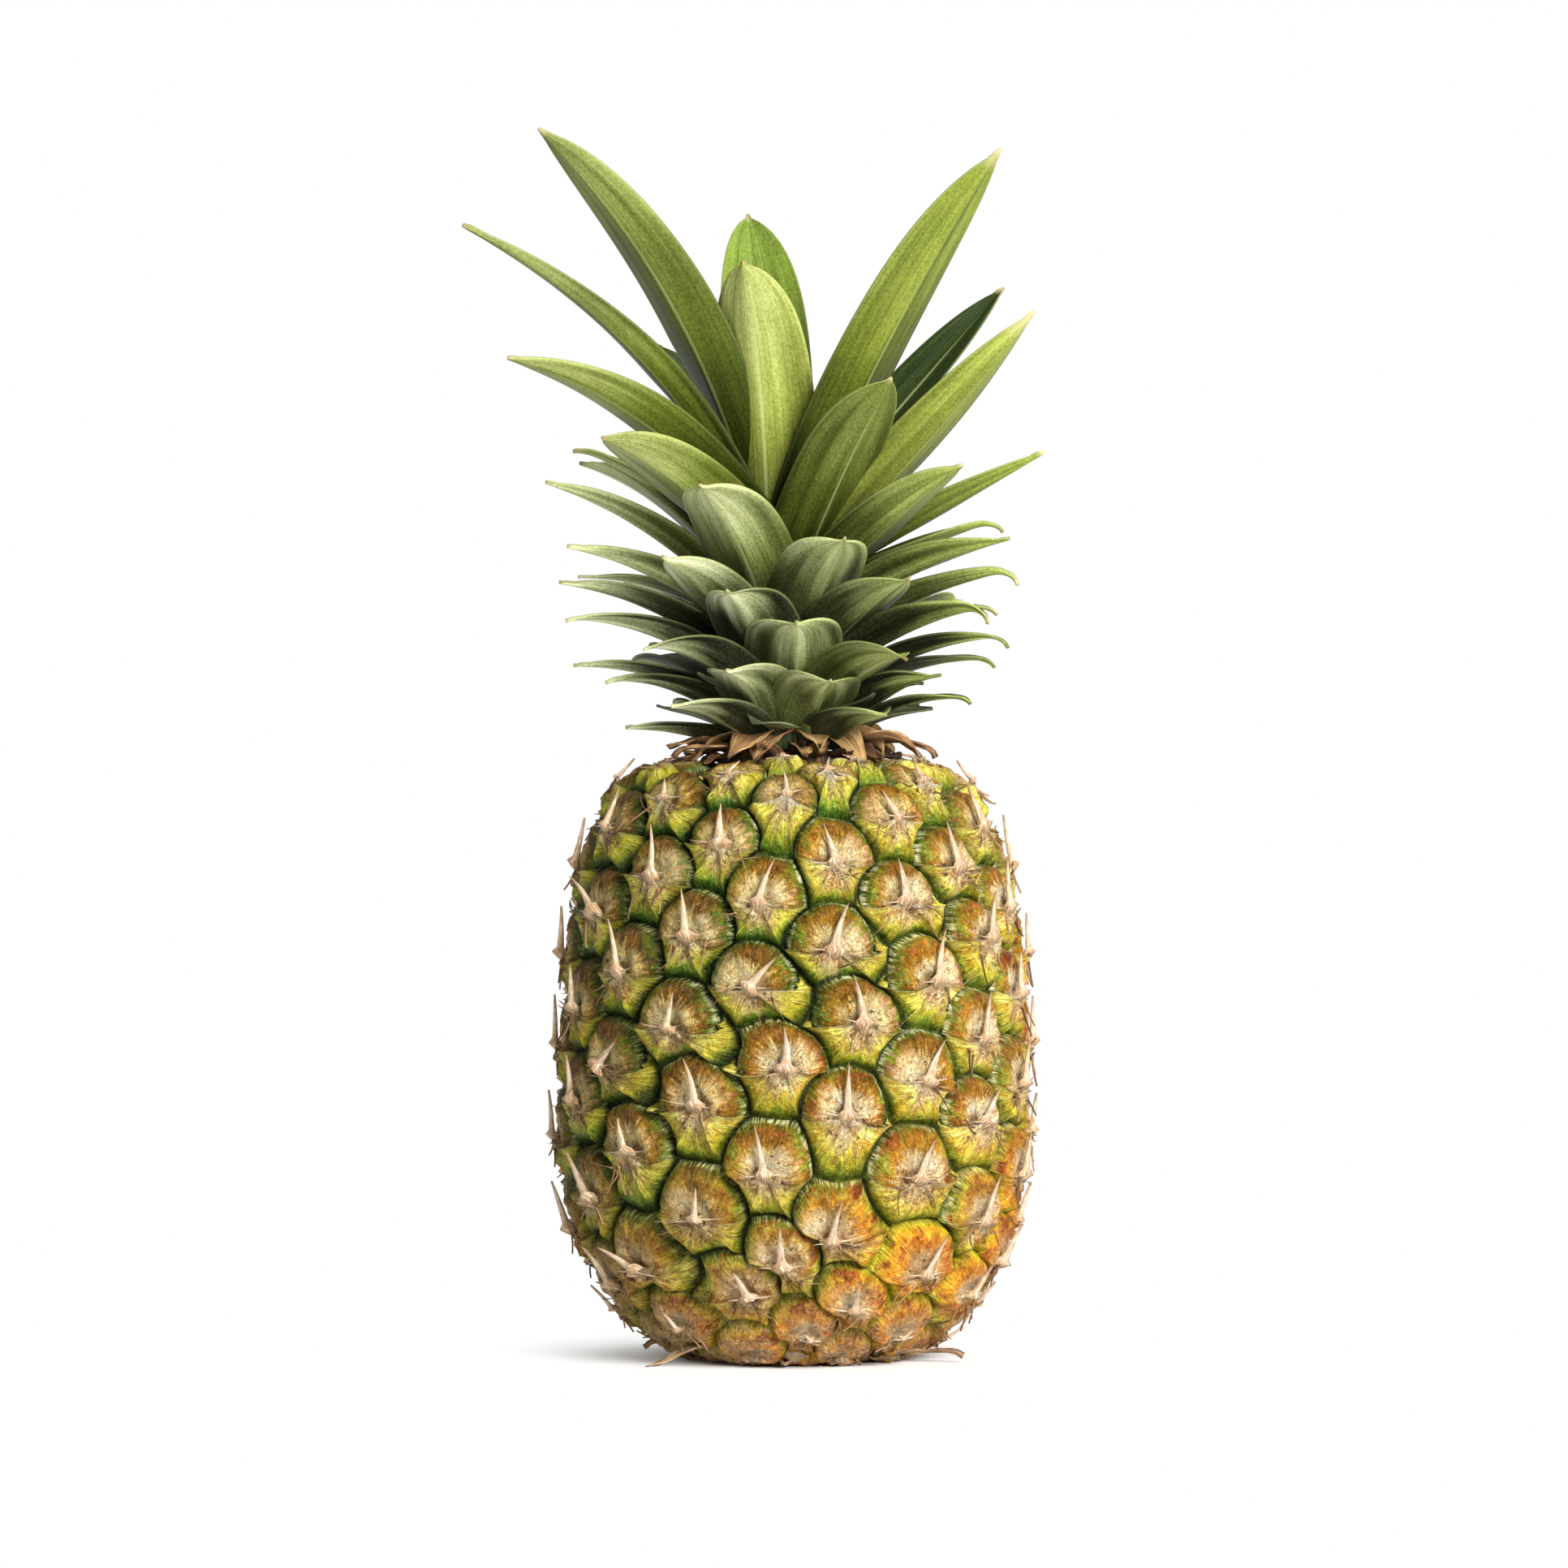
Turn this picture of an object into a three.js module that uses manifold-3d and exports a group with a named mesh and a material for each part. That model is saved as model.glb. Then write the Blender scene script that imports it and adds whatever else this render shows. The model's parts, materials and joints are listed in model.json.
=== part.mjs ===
// A pineapple standing on its cut base: one fruit of fused fruitlets, the end of its stalk,
// a collar of dry bracts and a crown of leaves on a short stem.
// Millimetres, +Z up. The origin is the middle of the flat base, +Z is the axis of the fruit,
// and -Y is its front. Azimuths are in degrees from +X towards +Y.

import * as THREE from 'three';
import Module from 'manifold-3d';

const wasm = await Module();
wasm.setup();

// ---- driving dimensions ------------------------------------------------------------------

const gap = 0.3;                 // air between neighbouring pieces
const crumb = 0.02;              // edges shorter than this are closed up after a cut

// outline of the fruit, a superellipse turned about the axis and flattened under the crown
const body = {
  radius: 58.3,                  // widest radius, between groove and dome
  waist: 55.6,                   // height of the widest place
  upperHeight: 108,
  upperPower: 3.04,
  lowerHeight: 57.0,
  lowerPower: 1.68,
  outerPower: 3.19,
  shoulder: 152.5,               // level of the flat top
  shoulderBlend: 5.0,
};

// the eyes stand in two sets of rows: 10 eyes up one set and 8 down the other go once round
const rows = {
  right: 10,
  left: 8,
  rightTurn: 19.6,               // degrees from an eye to the next one up and to the right
  rightRise: 10.15,              // mm along the outline, same step
  firstTurn: -7.0,               // place of eye 0,0 from the front
  firstRise: 20.0,               // and above the waist, along the outline
  lowest: -56,                   // the first and the last eye, along the outline
  highest: 105,
};

// No pineapple is regular: these eyes of the front grew off their rows, and those around
// them follow. For each: its place in the rows, mm to the right, mm up.
const strays = [
  [3, 4, 5, -6], [3, 3, 6, 1], [4, 2, 0, -3], [5, 2, -3, -3], [2, 4, 6, -3],
  [2, 3, 8, -2], [3, 2, 0, -4], [4, 1, -3, -3], [5, 1, -4, -3], [1, 3, 9, 0],
  [2, 2, 0, -4], [3, 1, -2, -1], [0, 3, 7, 1], [1, 2, 1, -2], [2, 1, -2, -3],
  [3, 0, 5, 2], [0, 2, 1, -1], [1, 1, -3, -2], [2, 0, 5, 2], [0, 1, -4, -2],
  [1, 0, 4, 2], [2, -1, -1, 0], [-1, 1, -7, -2], [0, 0, 5, 1], [1, -1, 0, 0],
  [-1, 0, 3, 2], [0, -1, -1, 2], [1, -2, -2, 2], [-2, 0, 3, 0], [-1, -1, -1, -2],
  [0, -2, -3, -1], [-3, 0, 6, -2], [-2, -1, 1, -3], [-1, -2, -5, -6], [0, -3, 1, 0],
  [-3, -1, -2, -7], [-3, -2, 10, -1], [-1, -3, 3, -3], [-1, -4, 6, 3], [-3, -3, 7, -2],
  [-2, -4, 4, 0],
];

const eye = {
  groove: 2.6,                   // depth below the outline
  dome: 1.9,                     // height above it
  domeRadius: 11.4,
  domeRise: 1.5,                 // the dome's middle over the middle of the eye
  skirt: 1.3,                    // how much lower the bract under the dome lies
  ringAt: 0.76,                  // place of the inner ring, from centre to groove
  crowded: 0.48,                 // where eyes are small, the dome's share of the way to its rim
};

// the dry tip of the bract: it roots in the middle of the eye and lies up over the dome
const spike = { length: 13, width: 5.0, foot: 2.2, height: 1.7, tipHeight: 1.9, least: 0.3 };

const stalk = { radius: 10.5, depth: 9.0, sides: 20 };

// the lowest bracts of all are withered and lie on each other round the cut
const base = { radius: 27, upperRadius: 33, height: 7, sides: 24 };

const baseBracts = {
  count: 19,
  reach: 24,
  level: 2.4,
  length: 10,
  width: 10,
  thick: 2.2,
  rise: [-2, 1.5],
};

const stem = {
  bottom: 155.8,
  top: 224,
  bottomRadius: 18,
  topRadius: 7,
  budHeight: 6,
  budRadius: 1.5,
  tilt: 5,                       // degrees, to the left
  sides: 16,
};

// the lowest leaves of all are short scales that grow from the foot of the stem
const stemScales = {
  count: 13,
  reach: 14,
  level: 158.2,
  length: 20,
  width: 12,
  thick: 1.4,
  rise: [1, 5],
};

const collar = { bottom: 149.6, top: 155.5, radius: 21, sides: 24 };

const collarBracts = {
  count: 17,
  reach: 17,
  level: 155.1,
  length: 13,
  width: 9,
  thick: 1.6,
  rise: [-1.5, 6],
};

const cutterStretch = 1.15;      // a scale's cutter runs past its tip by this factor

const leafShape = {
  stations: [0, 0.2, 0.42, 0.64, 0.84, 0.95, 1],
  rootWidth: 0.86,               // share of the full width at the root
  widestAt: 0.32,
  taper: [1.4, 4.0],             // how full the leaf stays, on narrow and on wide leaves
  tipRound: 0.35,                // how round the tip is on the widest leaves
  rootThick: 3.2,
  tipThick: 0.8,
  trough: 0.24,                  // rise of the edges over the midrib, share of the width
  tipWidth: 1.0,
  sunk: 2.5,                     // depth of the root inside the stem
  droopFrom: 0.8,                // share of the length at which the extra droop begins
};

// Leaves that show, one line each:
// name: azimuth, height of the root, length, width, lean at the root, lean at the tip,
// roll about the midrib, extra droop of the last part
const namedLeaves = {
  leaf_left_tall: [210, 218, 114, 20, 18, 50, 22, 0],
  leaf_left_long: [202, 216, 108, 12, 30, 66, 20, 0],
  leaf_front_tall: [250, 206, 76, 26, 4, 24, 0, 0],
  leaf_back_tall: [108, 218, 79, 24, 4, 20, 0, 0],
  leaf_right_tall: [320, 211, 116, 19, 29, 42, -20, 0],
  leaf_right_dark: [28, 211, 90, 17, 43, 43, 24, 0],
  leaf_right_long: [328, 202, 93, 17, 50, 44, -20, 0],
  leaf_front_right: [301, 200, 67, 21, 38, 50, -12, 0],
  leaf_right_fold: [314, 193, 65, 18, 54, 64, -12, 0],
  leaf_right_1: [342, 198, 70, 13, 62, 62, -20, 0],
  leaf_right_2: [12, 196, 54, 12, 66, 70, 0, 80],
  leaf_right_3: [338, 188, 56, 15, 58, 78, -20, 0],
  leaf_right_4: [352, 184, 54, 12, 62, 78, -20, 100],
  leaf_right_5: [16, 181, 48, 11, 66, 84, 0, 60],
  leaf_right_6: [328, 174, 52, 16, 56, 84, -15, 100],
  leaf_right_7: [346, 171, 48, 12, 60, 86, -10, 80],
  leaf_right_8: [4, 169, 42, 11, 60, 92, 0, 60],
  leaf_right_9: [350, 159, 34, 10, 50, 96, 0, 50],
  leaf_front_1: [247, 189, 54, 24, 42, 64, 5, 0],
  leaf_front_2: [288, 182, 46, 23, 46, 64, -5, 0],
  leaf_front_3: [250, 172, 40, 23, 42, 66, 5, 0],
  leaf_front_4: [272, 166, 36, 25, 40, 66, 0, 0],
  leaf_front_5: [304, 178, 48, 19, 58, 72, -10, 0],
  leaf_front_6: [247, 160, 32, 22, 48, 74, 5, 0],
  leaf_front_7: [282, 158, 34, 22, 50, 78, -5, 0],
  leaf_front_8: [297, 164, 52, 19, 58, 88, -10, 30],
  leaf_front_9: [316, 160, 40, 15, 56, 82, -10, 0],
  leaf_front_10: [300, 157, 32, 18, 70, 84, 0, 0],
  leaf_left_1: [215, 213, 86, 17, 46, 78, 20, 0],
  leaf_left_2: [163, 205, 56, 14, 50, 66, 0, 30],
  leaf_left_3: [230, 202, 68, 21, 50, 76, 15, 0],
  leaf_left_4: [193, 191, 62, 14, 44, 72, 15, 0],
  leaf_left_5: [203, 185, 54, 14, 52, 80, 15, 0],
  leaf_left_6: [234, 179, 48, 19, 50, 68, 10, 0],
  leaf_left_7: [192, 178, 52, 14, 52, 82, 10, 0],
  leaf_left_8: [198, 173, 50, 14, 54, 88, 10, 20],
  leaf_left_9: [230, 168, 46, 17, 56, 90, 10, 20],
  leaf_left_10: [190, 164, 45, 12, 54, 92, 5, 0],
  leaf_left_11: [204, 161, 40, 13, 50, 94, 5, 20],
  leaf_left_12: [232, 157, 36, 18, 62, 88, 0, 0],
  leaf_left_13: [198, 157, 30, 12, 74, 90, 0, 0],
  leaf_left_dark: [135, 219, 58, 15, 28, 56, 0, 0],
  leaf_back_thin: [50, 214, 66, 9, 44, 54, 0, 0],
  leaf_left_thin: [170, 187, 46, 11, 56, 90, 0, 0],
};

// Leaves at the back: azimuth and root height, the rest runs from the lowest to the highest
const backShape = { length: [38, 76], width: [22, 20], rootLean: 36, tipLean: [94, 66] };

const backLeaves = [
  [62, 206], [118, 203], [88, 196], [148, 193], [40, 189], [112, 184],
  [76, 178], [140, 174], [34, 171], [98, 167], [150, 160], [62, 158],
];

const colours = {
  fruit: 0xb98a2e,
  stalk: 0xc9b48a,
  stem: 0x8d9a6a,
  collar: 0xa8662c,
  leafLow: 0x5f7560,
  leafHigh: 0x7f9a3f,
};

// ---- small helpers -----------------------------------------------------------------------

const radians = THREE.MathUtils.degToRad;
const lerp = THREE.MathUtils.lerp;

function noise(n) {
  const wave = Math.sin(n * 127.1 + 31.7) * 43758.5453;
  return wave - Math.floor(wave);
}

function solidFrom(points, triangles) {
  const vertProperties = new Float32Array(points.flatMap((p) => [p.x, p.y, p.z]));
  const triVerts = new Uint32Array(triangles.flat());
  return new wasm.Manifold(new wasm.Mesh({ numProp: 3, vertProperties, triVerts }));
}

function geometryFrom(solid) {
  const mesh = solid.getMesh();
  const geometry = new THREE.BufferGeometry();
  geometry.setAttribute('position', new THREE.BufferAttribute(mesh.vertProperties, 3));
  geometry.setIndex(new THREE.BufferAttribute(mesh.triVerts, 1));
  geometry.computeVertexNormals();
  return geometry;
}

function largestBody(solid) {
  const bodies = solid.decompose();
  bodies.sort((a, b) => b.volume() - a.volume());
  return bodies[0];
}

// A closed skin over rings of points, the first ring and the last one capped flat
function solidFromRings(rings) {
  const points = rings.flat();
  const sides = rings[0].length;
  const last = (rings.length - 1) * sides;
  const triangles = [];
  for (let ring = 0; ring < rings.length - 1; ring += 1) {
    for (let k = 0; k < sides; k += 1) {
      const next = (k + 1) % sides;
      const a = ring * sides + k;
      const b = ring * sides + next;
      triangles.push([a, b, b + sides], [a, b + sides, a + sides]);
    }
  }
  for (let k = 1; k < sides - 1; k += 1) {
    triangles.push([0, k + 1, k], [last, last + k, last + k + 1]);
  }
  return solidFrom(points, triangles);
}

function ringAt(radius, z, sides, centreX = 0) {
  return Array.from({ length: sides }, (_, k) => {
    const turn = (2 * Math.PI * k) / sides;
    return new THREE.Vector3(centreX + radius * Math.cos(turn), radius * Math.sin(turn), z);
  });
}

// ---- outline of the fruit ----------------------------------------------------------------

function outlineRadius(z) {
  const above = z > body.waist;
  const share = above
    ? (z - body.waist) / body.upperHeight
    : (body.waist - z) / body.lowerHeight;
  const power = above ? body.upperPower : body.lowerPower;
  return body.radius * (1 - Math.min(share, 1) ** power) ** (1 / body.outerPower);
}

function flattened(z) {
  const over = (z - body.shoulder) / body.shoulderBlend;
  return z - body.shoulderBlend * Math.log1p(Math.exp(over));
}

const outlineStep = 0.1;
const leastRadius = 5;

// the outline as close points, with the length walked from the waist
const outline = (() => {
  const points = [];
  const top = body.waist + body.upperHeight;
  for (let z = 0; z <= top; z += outlineStep) {
    points.push({ r: outlineRadius(z), z: flattened(z) });
  }
  let walked = 0;
  points.forEach((p, k) => {
    const before = points[Math.max(k - 1, 0)];
    walked += Math.hypot(p.r - before.r, p.z - before.z);
    p.s = walked;
  });
  const waist = points[Math.round(body.waist / outlineStep)].s;
  points.forEach((p) => {
    p.s -= waist;
  });
  return points;
})();

// place on the outline and its slope; below the base it runs straight on
function onOutline(s) {
  const low = outline[0];
  if (s <= low.s) {
    const after = outline[8];
    const length = Math.hypot(after.r - low.r, after.z - low.z);
    const dr = (after.r - low.r) / length;
    const dz = (after.z - low.z) / length;
    const below = s - low.s;
    return { r: Math.max(low.r + below * dr, leastRadius), z: low.z + below * dz, dr, dz };
  }
  let first = 0;
  let last = outline.length - 1;
  while (last - first > 1) {
    const middle = (first + last) >> 1;
    if (outline[middle].s <= s) first = middle;
    else last = middle;
  }
  const a = outline[first];
  const b = outline[last];
  const share = Math.min((s - a.s) / (b.s - a.s), 1);
  const length = b.s - a.s;
  return {
    r: Math.max(lerp(a.r, b.r, share), leastRadius),
    z: lerp(a.z, b.z, share),
    dr: (b.r - a.r) / length,
    dz: (b.z - a.z) / length,
  };
}

// a width along the skin as an angle about the axis
function degreesOver(width, s) {
  return THREE.MathUtils.radToDeg(width / onOutline(s).r);
}

// a point of the fruit: turn from the front, walk from the waist, height over the outline
function onFruit(turn, s, height) {
  const place = onOutline(s);
  const angle = radians(turn - 90);
  const r = place.r + height * place.dz;
  return new THREE.Vector3(r * Math.cos(angle), r * Math.sin(angle), place.z - height * place.dr);
}

// ---- the eyes ----------------------------------------------------------------------------

const leftTurn = (360 - rows.right * rows.rightTurn) / rows.left;
const leftRise = (rows.right * rows.rightRise) / rows.left;

// the same eye has one name only, however many times round it was counted
function eyeName(i, j) {
  const rounds = Math.floor(i / rows.right);
  return `${i - rounds * rows.right},${j + rounds * rows.left}`;
}

const neighbours = [[0, -1], [1, 0], [1, 1], [0, 1], [-1, 0], [-1, -1]];
const farthest = 20;             // eyes counted up and down a left row
const settling = 12;             // rounds in which the eyes give way to each other

// how far each eye stands off its row: the strays as they are, the others follow their
// neighbours, less and less away from the strays
const offRow = (() => {
  const fixed = new Map(strays.map(([i, j, right, up]) => [eyeName(i, j), [right, up]]));
  const off = new Map();
  const read = (i, j) => off.get(eyeName(i, j)) ?? [0, 0];
  const share = 1 / (neighbours.length + 1);
  for (let round = 0; round < settling; round += 1) {
    for (let i = 0; i < rows.right; i += 1) {
      for (let j = -farthest; j <= farthest; j += 1) {
        const around = neighbours.map(([di, dj]) => read(i + di, j + dj));
        const pull = [0, 1].map((axis) => around.reduce((sum, o) => sum + o[axis] * share, 0));
        off.set(eyeName(i, j), fixed.get(eyeName(i, j)) ?? pull);
      }
    }
  }
  return off;
})();

function eyeCentre(i, j) {
  const s = rows.firstRise + i * rows.rightRise + j * leftRise;
  const turn = rows.firstTurn + i * rows.rightTurn - j * leftTurn;
  const [right, up] = offRow.get(eyeName(i, j)) ?? [0, 0];
  return { turn: turn + degreesOver(right, s), s: s + up };
}

// corners of an eye, counterclockwise from the right: each lies between three eyes,
// named after the lowest of them and the side that it is on
function eyeCorners(i, j) {
  const corners = [
    ['left', i, j - 1],
    ['right', i, j],
    ['left', i, j],
    ['right', i - 1, j],
    ['left', i - 1, j - 1],
    ['right', i - 1, j - 1],
  ];
  return corners.map(([side, ci, cj]) => {
    const low = eyeCentre(ci, cj);
    const next = side === 'right' ? eyeCentre(ci + 1, cj) : eyeCentre(ci, cj + 1);
    const top = eyeCentre(ci + 1, cj + 1);
    return {
      name: `${side} ${eyeName(ci, cj)}`,
      turn: (low.turn + next.turn + top.turn) / 3,
      s: (low.s + next.s + top.s) / 3,
    };
  });
}

// The groove between two corners belongs to the lower eye, and bends round its dome: an eye's
// three upper grooves are its own, the rest of its rim is the grooves of the eyes below it.
function grooveMiddle(owner, a, b) {
  if (owner.s < rows.lowest) return { turn: (a.turn + b.turn) / 2, s: (a.s + b.s) / 2 };
  const middle = { turn: owner.turn, s: owner.s + eye.domeRise };
  const polar = ({ turn, s }) => {
    const right = radians(turn - middle.turn) * onOutline(middle.s).r;
    return { angle: Math.atan2(s - middle.s, right), radius: Math.hypot(s - middle.s, right) };
  };
  const from = polar(a);
  const to = polar(b);
  let sweep = to.angle - from.angle;
  if (sweep < -Math.PI) sweep += 2 * Math.PI;
  if (sweep > Math.PI) sweep -= 2 * Math.PI;
  const dome = Math.min(eye.domeRadius, eye.crowded * (from.radius + to.radius));
  const cornersOver = from.radius - dome + (to.radius - dome);
  const radius = dome + cornersOver / 8;
  const angle = from.angle + sweep / 2;
  return {
    turn: middle.turn + degreesOver(radius * Math.cos(angle), middle.s),
    s: middle.s + radius * Math.sin(angle),
  };
}

function allEyes() {
  const eyes = [];
  for (let i = 0; i < rows.right; i += 1) {
    for (let j = -farthest; j <= farthest; j += 1) {
      const centre = eyeCentre(i, j);
      if (centre.s > rows.lowest && centre.s < rows.highest) eyes.push({ i, j, ...centre });
    }
  }
  return eyes;
}

// how far the relief stands out, less on the small eyes of both ends
function reliefScale(s) {
  return Math.min(1, 0.35 + onOutline(s).r / 80);
}

function reliefHeight(share, up, s) {
  const domed = eye.dome - (eye.dome + eye.groove) * share ** 5;
  const skirt = eye.skirt * Math.max(0, -up) * share * (1 - share ** 5);
  return (domed - skirt) * reliefScale(s);
}

// root and tip of a spike as turn, walk and height: the root's four points stand right,
// above, left and below the middle of the eye, and the one below is the spike's ridge
function spikePoints(i, j, turn, s) {
  const seed = i * 31 + j * 7;
  const crowding = THREE.MathUtils.clamp((onOutline(s).r - 32) / 20, spike.least, 1);
  const size = crowding * reliefScale(s) * lerp(0.85, 1.1, noise(seed));
  const sway = lerp(-3, 3, noise(seed + 0.5));
  const half = (spike.width / 2) * size;
  const level = reliefHeight(0, 0, s);
  const at = (right, up, height) => [turn + degreesOver(right, s), s + up, height];
  const root = [
    at(half, -1, level),
    at(0, 1, level - 0.5),
    at(-half, -1, level),
    at(0, -spike.foot, level + Math.max(spike.height * size, 1)),
  ];
  const tip = at(sway * size, spike.length * size, level + Math.max(spike.tipHeight * size, 1.2));
  return [root, [tip]];
}

function fruitSkin() {
  const points = [];
  const triangles = [];
  const shared = new Map();
  const place = (turn, s, height) => points.push(onFruit(turn, s, height)) - 1;
  const sharedPlace = (name, turn, s) => {
    if (!shared.has(name)) shared.set(name, place(turn, s, reliefHeight(1, 0, s)));
    return shared.get(name);
  };

  for (const { i, j, turn, s } of allEyes()) {
    const corners = eyeCorners(i, j);
    const owners = [...Array(3).fill([i, j]), [i - 1, j], [i - 1, j - 1], [i, j - 1]];
    const rim = corners.flatMap((corner, k) => {
      const next = corners[(k + 1) % corners.length];
      const middle = grooveMiddle(eyeCentre(...owners[k]), corner, next);
      const name = [corner.name, next.name].sort().join(' to ');
      return [
        { ...corner, index: sharedPlace(corner.name, corner.turn, corner.s) },
        { ...middle, index: sharedPlace(name, middle.turn, middle.s) },
      ];
    });
    const domeRing = rim.map((p) => {
      const up = (p.s - s) / Math.hypot(p.s - s, radians(p.turn - turn) * onOutline(s).r);
      const at = { turn: lerp(turn, p.turn, eye.ringAt), s: lerp(s, p.s, eye.ringAt) };
      return place(at.turn, at.s, reliefHeight(eye.ringAt, up, at.s));
    });
    const [root, tip] = spikePoints(i, j, turn, s).map((part) => part.map((p) => place(...p)));
    rim.forEach((p, k) => {
      const next = (k + 1) % rim.length;
      triangles.push([p.index, rim[next].index, domeRing[next]]);
      triangles.push([p.index, domeRing[next], domeRing[k]]);
      triangles.push([domeRing[k], domeRing[next], root[Math.round(k / 3) % 4]]);
    });
    root.forEach((foot, k) => {
      const nextFoot = root[(k + 1) % 4];
      triangles.push([domeRing[3 * k + 2], nextFoot, foot], [foot, nextFoot, tip[0]]);
    });
  }
  closeEnds(points, triangles);
  return solidFrom(points, triangles);
}

// the open rims under the base and under the crown are closed by a fan each
function closeEnds(points, triangles) {
  const used = new Set();
  triangles.forEach(([a, b, c]) => [[a, b], [b, c], [c, a]].forEach((e) => used.add(e.join())));
  const below = points.push(new THREE.Vector3(0, 0, -stalk.depth)) - 1;
  const above = points.push(new THREE.Vector3(0, 0, body.shoulder)) - 1;
  [...used].forEach((edge) => {
    const [a, b] = edge.split(',').map(Number);
    if (used.has(`${b},${a}`)) return;
    triangles.push([b, a, points[a].z < body.waist ? below : above]);
  });
}

function prism(radius, low, high, sides) {
  return solidFromRings([ringAt(radius, low, sides), ringAt(radius, high, sides)]);
}

function makeFruit() {
  const ground = prism(2 * body.radius, -body.radius, 0, 8);
  const stalkHole = prism(stalk.radius + gap, -stalk.depth, stalk.depth + gap, stalk.sides);
  const seatFloor = collar.bottom - gap;
  const crownSeat = prism(collar.radius + gap, seatFloor, body.shoulder * 1.2, collar.sides);
  const witheredBase = solidFromRings([
    ringAt(base.radius, 0, base.sides),
    ringAt(base.upperRadius, base.height, base.sides),
  ]);
  const whole = wasm.Manifold.union([fruitSkin(), witheredBase, ...bractRing(0, baseBracts)]);
  return largestBody(whole.subtract(ground).subtract(stalkHole).subtract(crownSeat));
}

// ---- stalk, collar and stem --------------------------------------------------------------

function makeStalkEnd() {
  return solidFromRings([
    ringAt(stalk.radius - 0.4, 0, stalk.sides),
    ringAt(stalk.radius, 0.2 * stalk.depth, stalk.sides),
    ringAt(stalk.radius, stalk.depth, stalk.sides),
  ]);
}

// faces of a four-sided wedge: the root's corners left, below, right and above, and its tip
const wedgeFaces = [[0, 1, 4], [1, 2, 4], [2, 3, 4], [3, 0, 4], [0, 2, 1], [0, 3, 2]];

// a ring of short pointed bracts that spread from a middle, uneven in length and in rise
function bractRing(middleX, { count, reach, level, length, width, thick, rise }, swell = 0) {
  return Array.from({ length: count }, (_, k) => {
    const turn = radians(((k + 0.5 * noise(k + 3)) * 360) / count);
    const out = new THREE.Vector3(Math.cos(turn), Math.sin(turn), 0);
    const side = new THREE.Vector3(-out.y, out.x, 0);
    const at = (r, u, z) => {
      const point = new THREE.Vector3(middleX, 0, 0);
      return point.addScaledVector(out, r).addScaledVector(side, u).setZ(z);
    };
    const half = width / 2 + swell;
    const stretch = swell > 0 ? cutterStretch : 1;
    const far = reach + length * lerp(0.8, 1.15, noise(k + 11)) * stretch;
    const lift = lerp(...rise, noise(k + 23)) * stretch;
    const sway = lerp(-3, 3, noise(k + 37)) * stretch;
    const points = [
      at(reach, -half, level),
      at(reach, 0, level - thick - swell),
      at(reach, half, level),
      at(reach, 0, level + 0.2 + swell),
      at(far, sway, level + lift),
    ];
    return solidFrom(points, wedgeFaces);
  });
}

function makeCollar() {
  const plate = solidFromRings([
    ringAt(collar.radius, collar.bottom, collar.sides),
    ringAt(collar.radius, collar.top - 0.8, collar.sides),
    ringAt(collar.radius - 2, collar.top, collar.sides),
  ]);
  return wasm.Manifold.union([plate, ...bractRing(0, collarBracts)]);
}

const stemLean = Math.tan(radians(stem.tilt));

function stemX(z) {
  return -(z - stem.bottom) * stemLean;
}

function stemRadius(z) {
  const share = THREE.MathUtils.clamp((z - stem.bottom) / (stem.top - stem.bottom), 0, 1);
  return lerp(stem.bottomRadius, stem.topRadius, share);
}

function makeStem(swell = 0) {
  const levels = [0, 1 / 3, 2 / 3, 1].map((share) => lerp(stem.bottom, stem.top, share));
  const rings = levels.map((z) => ringAt(stemRadius(z) + swell, z, stem.sides, stemX(z)));
  const bud = stem.top + stem.budHeight;
  rings.push(ringAt(stem.budRadius + swell, bud + swell, stem.sides, stemX(bud)));
  if (swell > 0) rings.unshift(ringAt(stem.bottomRadius + swell, stem.bottom - 1, stem.sides));
  return wasm.Manifold.union([solidFromRings(rings), ...bractRing(0, stemScales, swell)]);
}

// ---- leaves ------------------------------------------------------------------------------

function leafWidth(share, width) {
  const { rootWidth, widestAt, tipRound } = leafShape;
  const [least, most] = leafShape.taper;
  const taper = THREE.MathUtils.clamp(width / 6.5, least, most);
  const round = 1 - (tipRound * (taper - least)) / (most - least);
  if (share < widestAt) return lerp(rootWidth, 1, Math.sin((share / widestAt) * (Math.PI / 2)));
  return (1 - ((share - widestAt) / (1 - widestAt)) ** taper) ** round;
}

const midribSteps = 48;

// points and frames along the midrib, which bends in an upright plane
function leafMidrib([azimuth, rootZ, length, , rootLean, tipLean, roll, droop]) {
  const walk = [];
  const start = stemRadius(rootZ) - leafShape.sunk;
  const heading = radians(azimuth);
  const out = new THREE.Vector3(Math.cos(heading), Math.sin(heading), 0);
  const across = new THREE.Vector3(-out.y, out.x, 0);
  const at = out.clone().multiplyScalar(start).add(new THREE.Vector3(stemX(rootZ), 0, rootZ));
  for (let k = 0; k <= midribSteps; k += 1) {
    const share = k / midribSteps;
    const late = Math.max(0, (share - leafShape.droopFrom) / (1 - leafShape.droopFrom));
    const lean = radians(lerp(rootLean, tipLean, share) + droop * late ** 2);
    const along = out.clone().multiplyScalar(Math.sin(lean)).setZ(Math.cos(lean));
    const twist = radians(roll) * Math.min(1, share * 2.5);
    const side = across.clone().applyAxisAngle(along, twist);
    const inner = along.clone().cross(side);
    walk.push({ share, point: at.clone(), side, inner });
    at.addScaledVector(along, length / midribSteps);
  }
  return walk;
}

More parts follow.
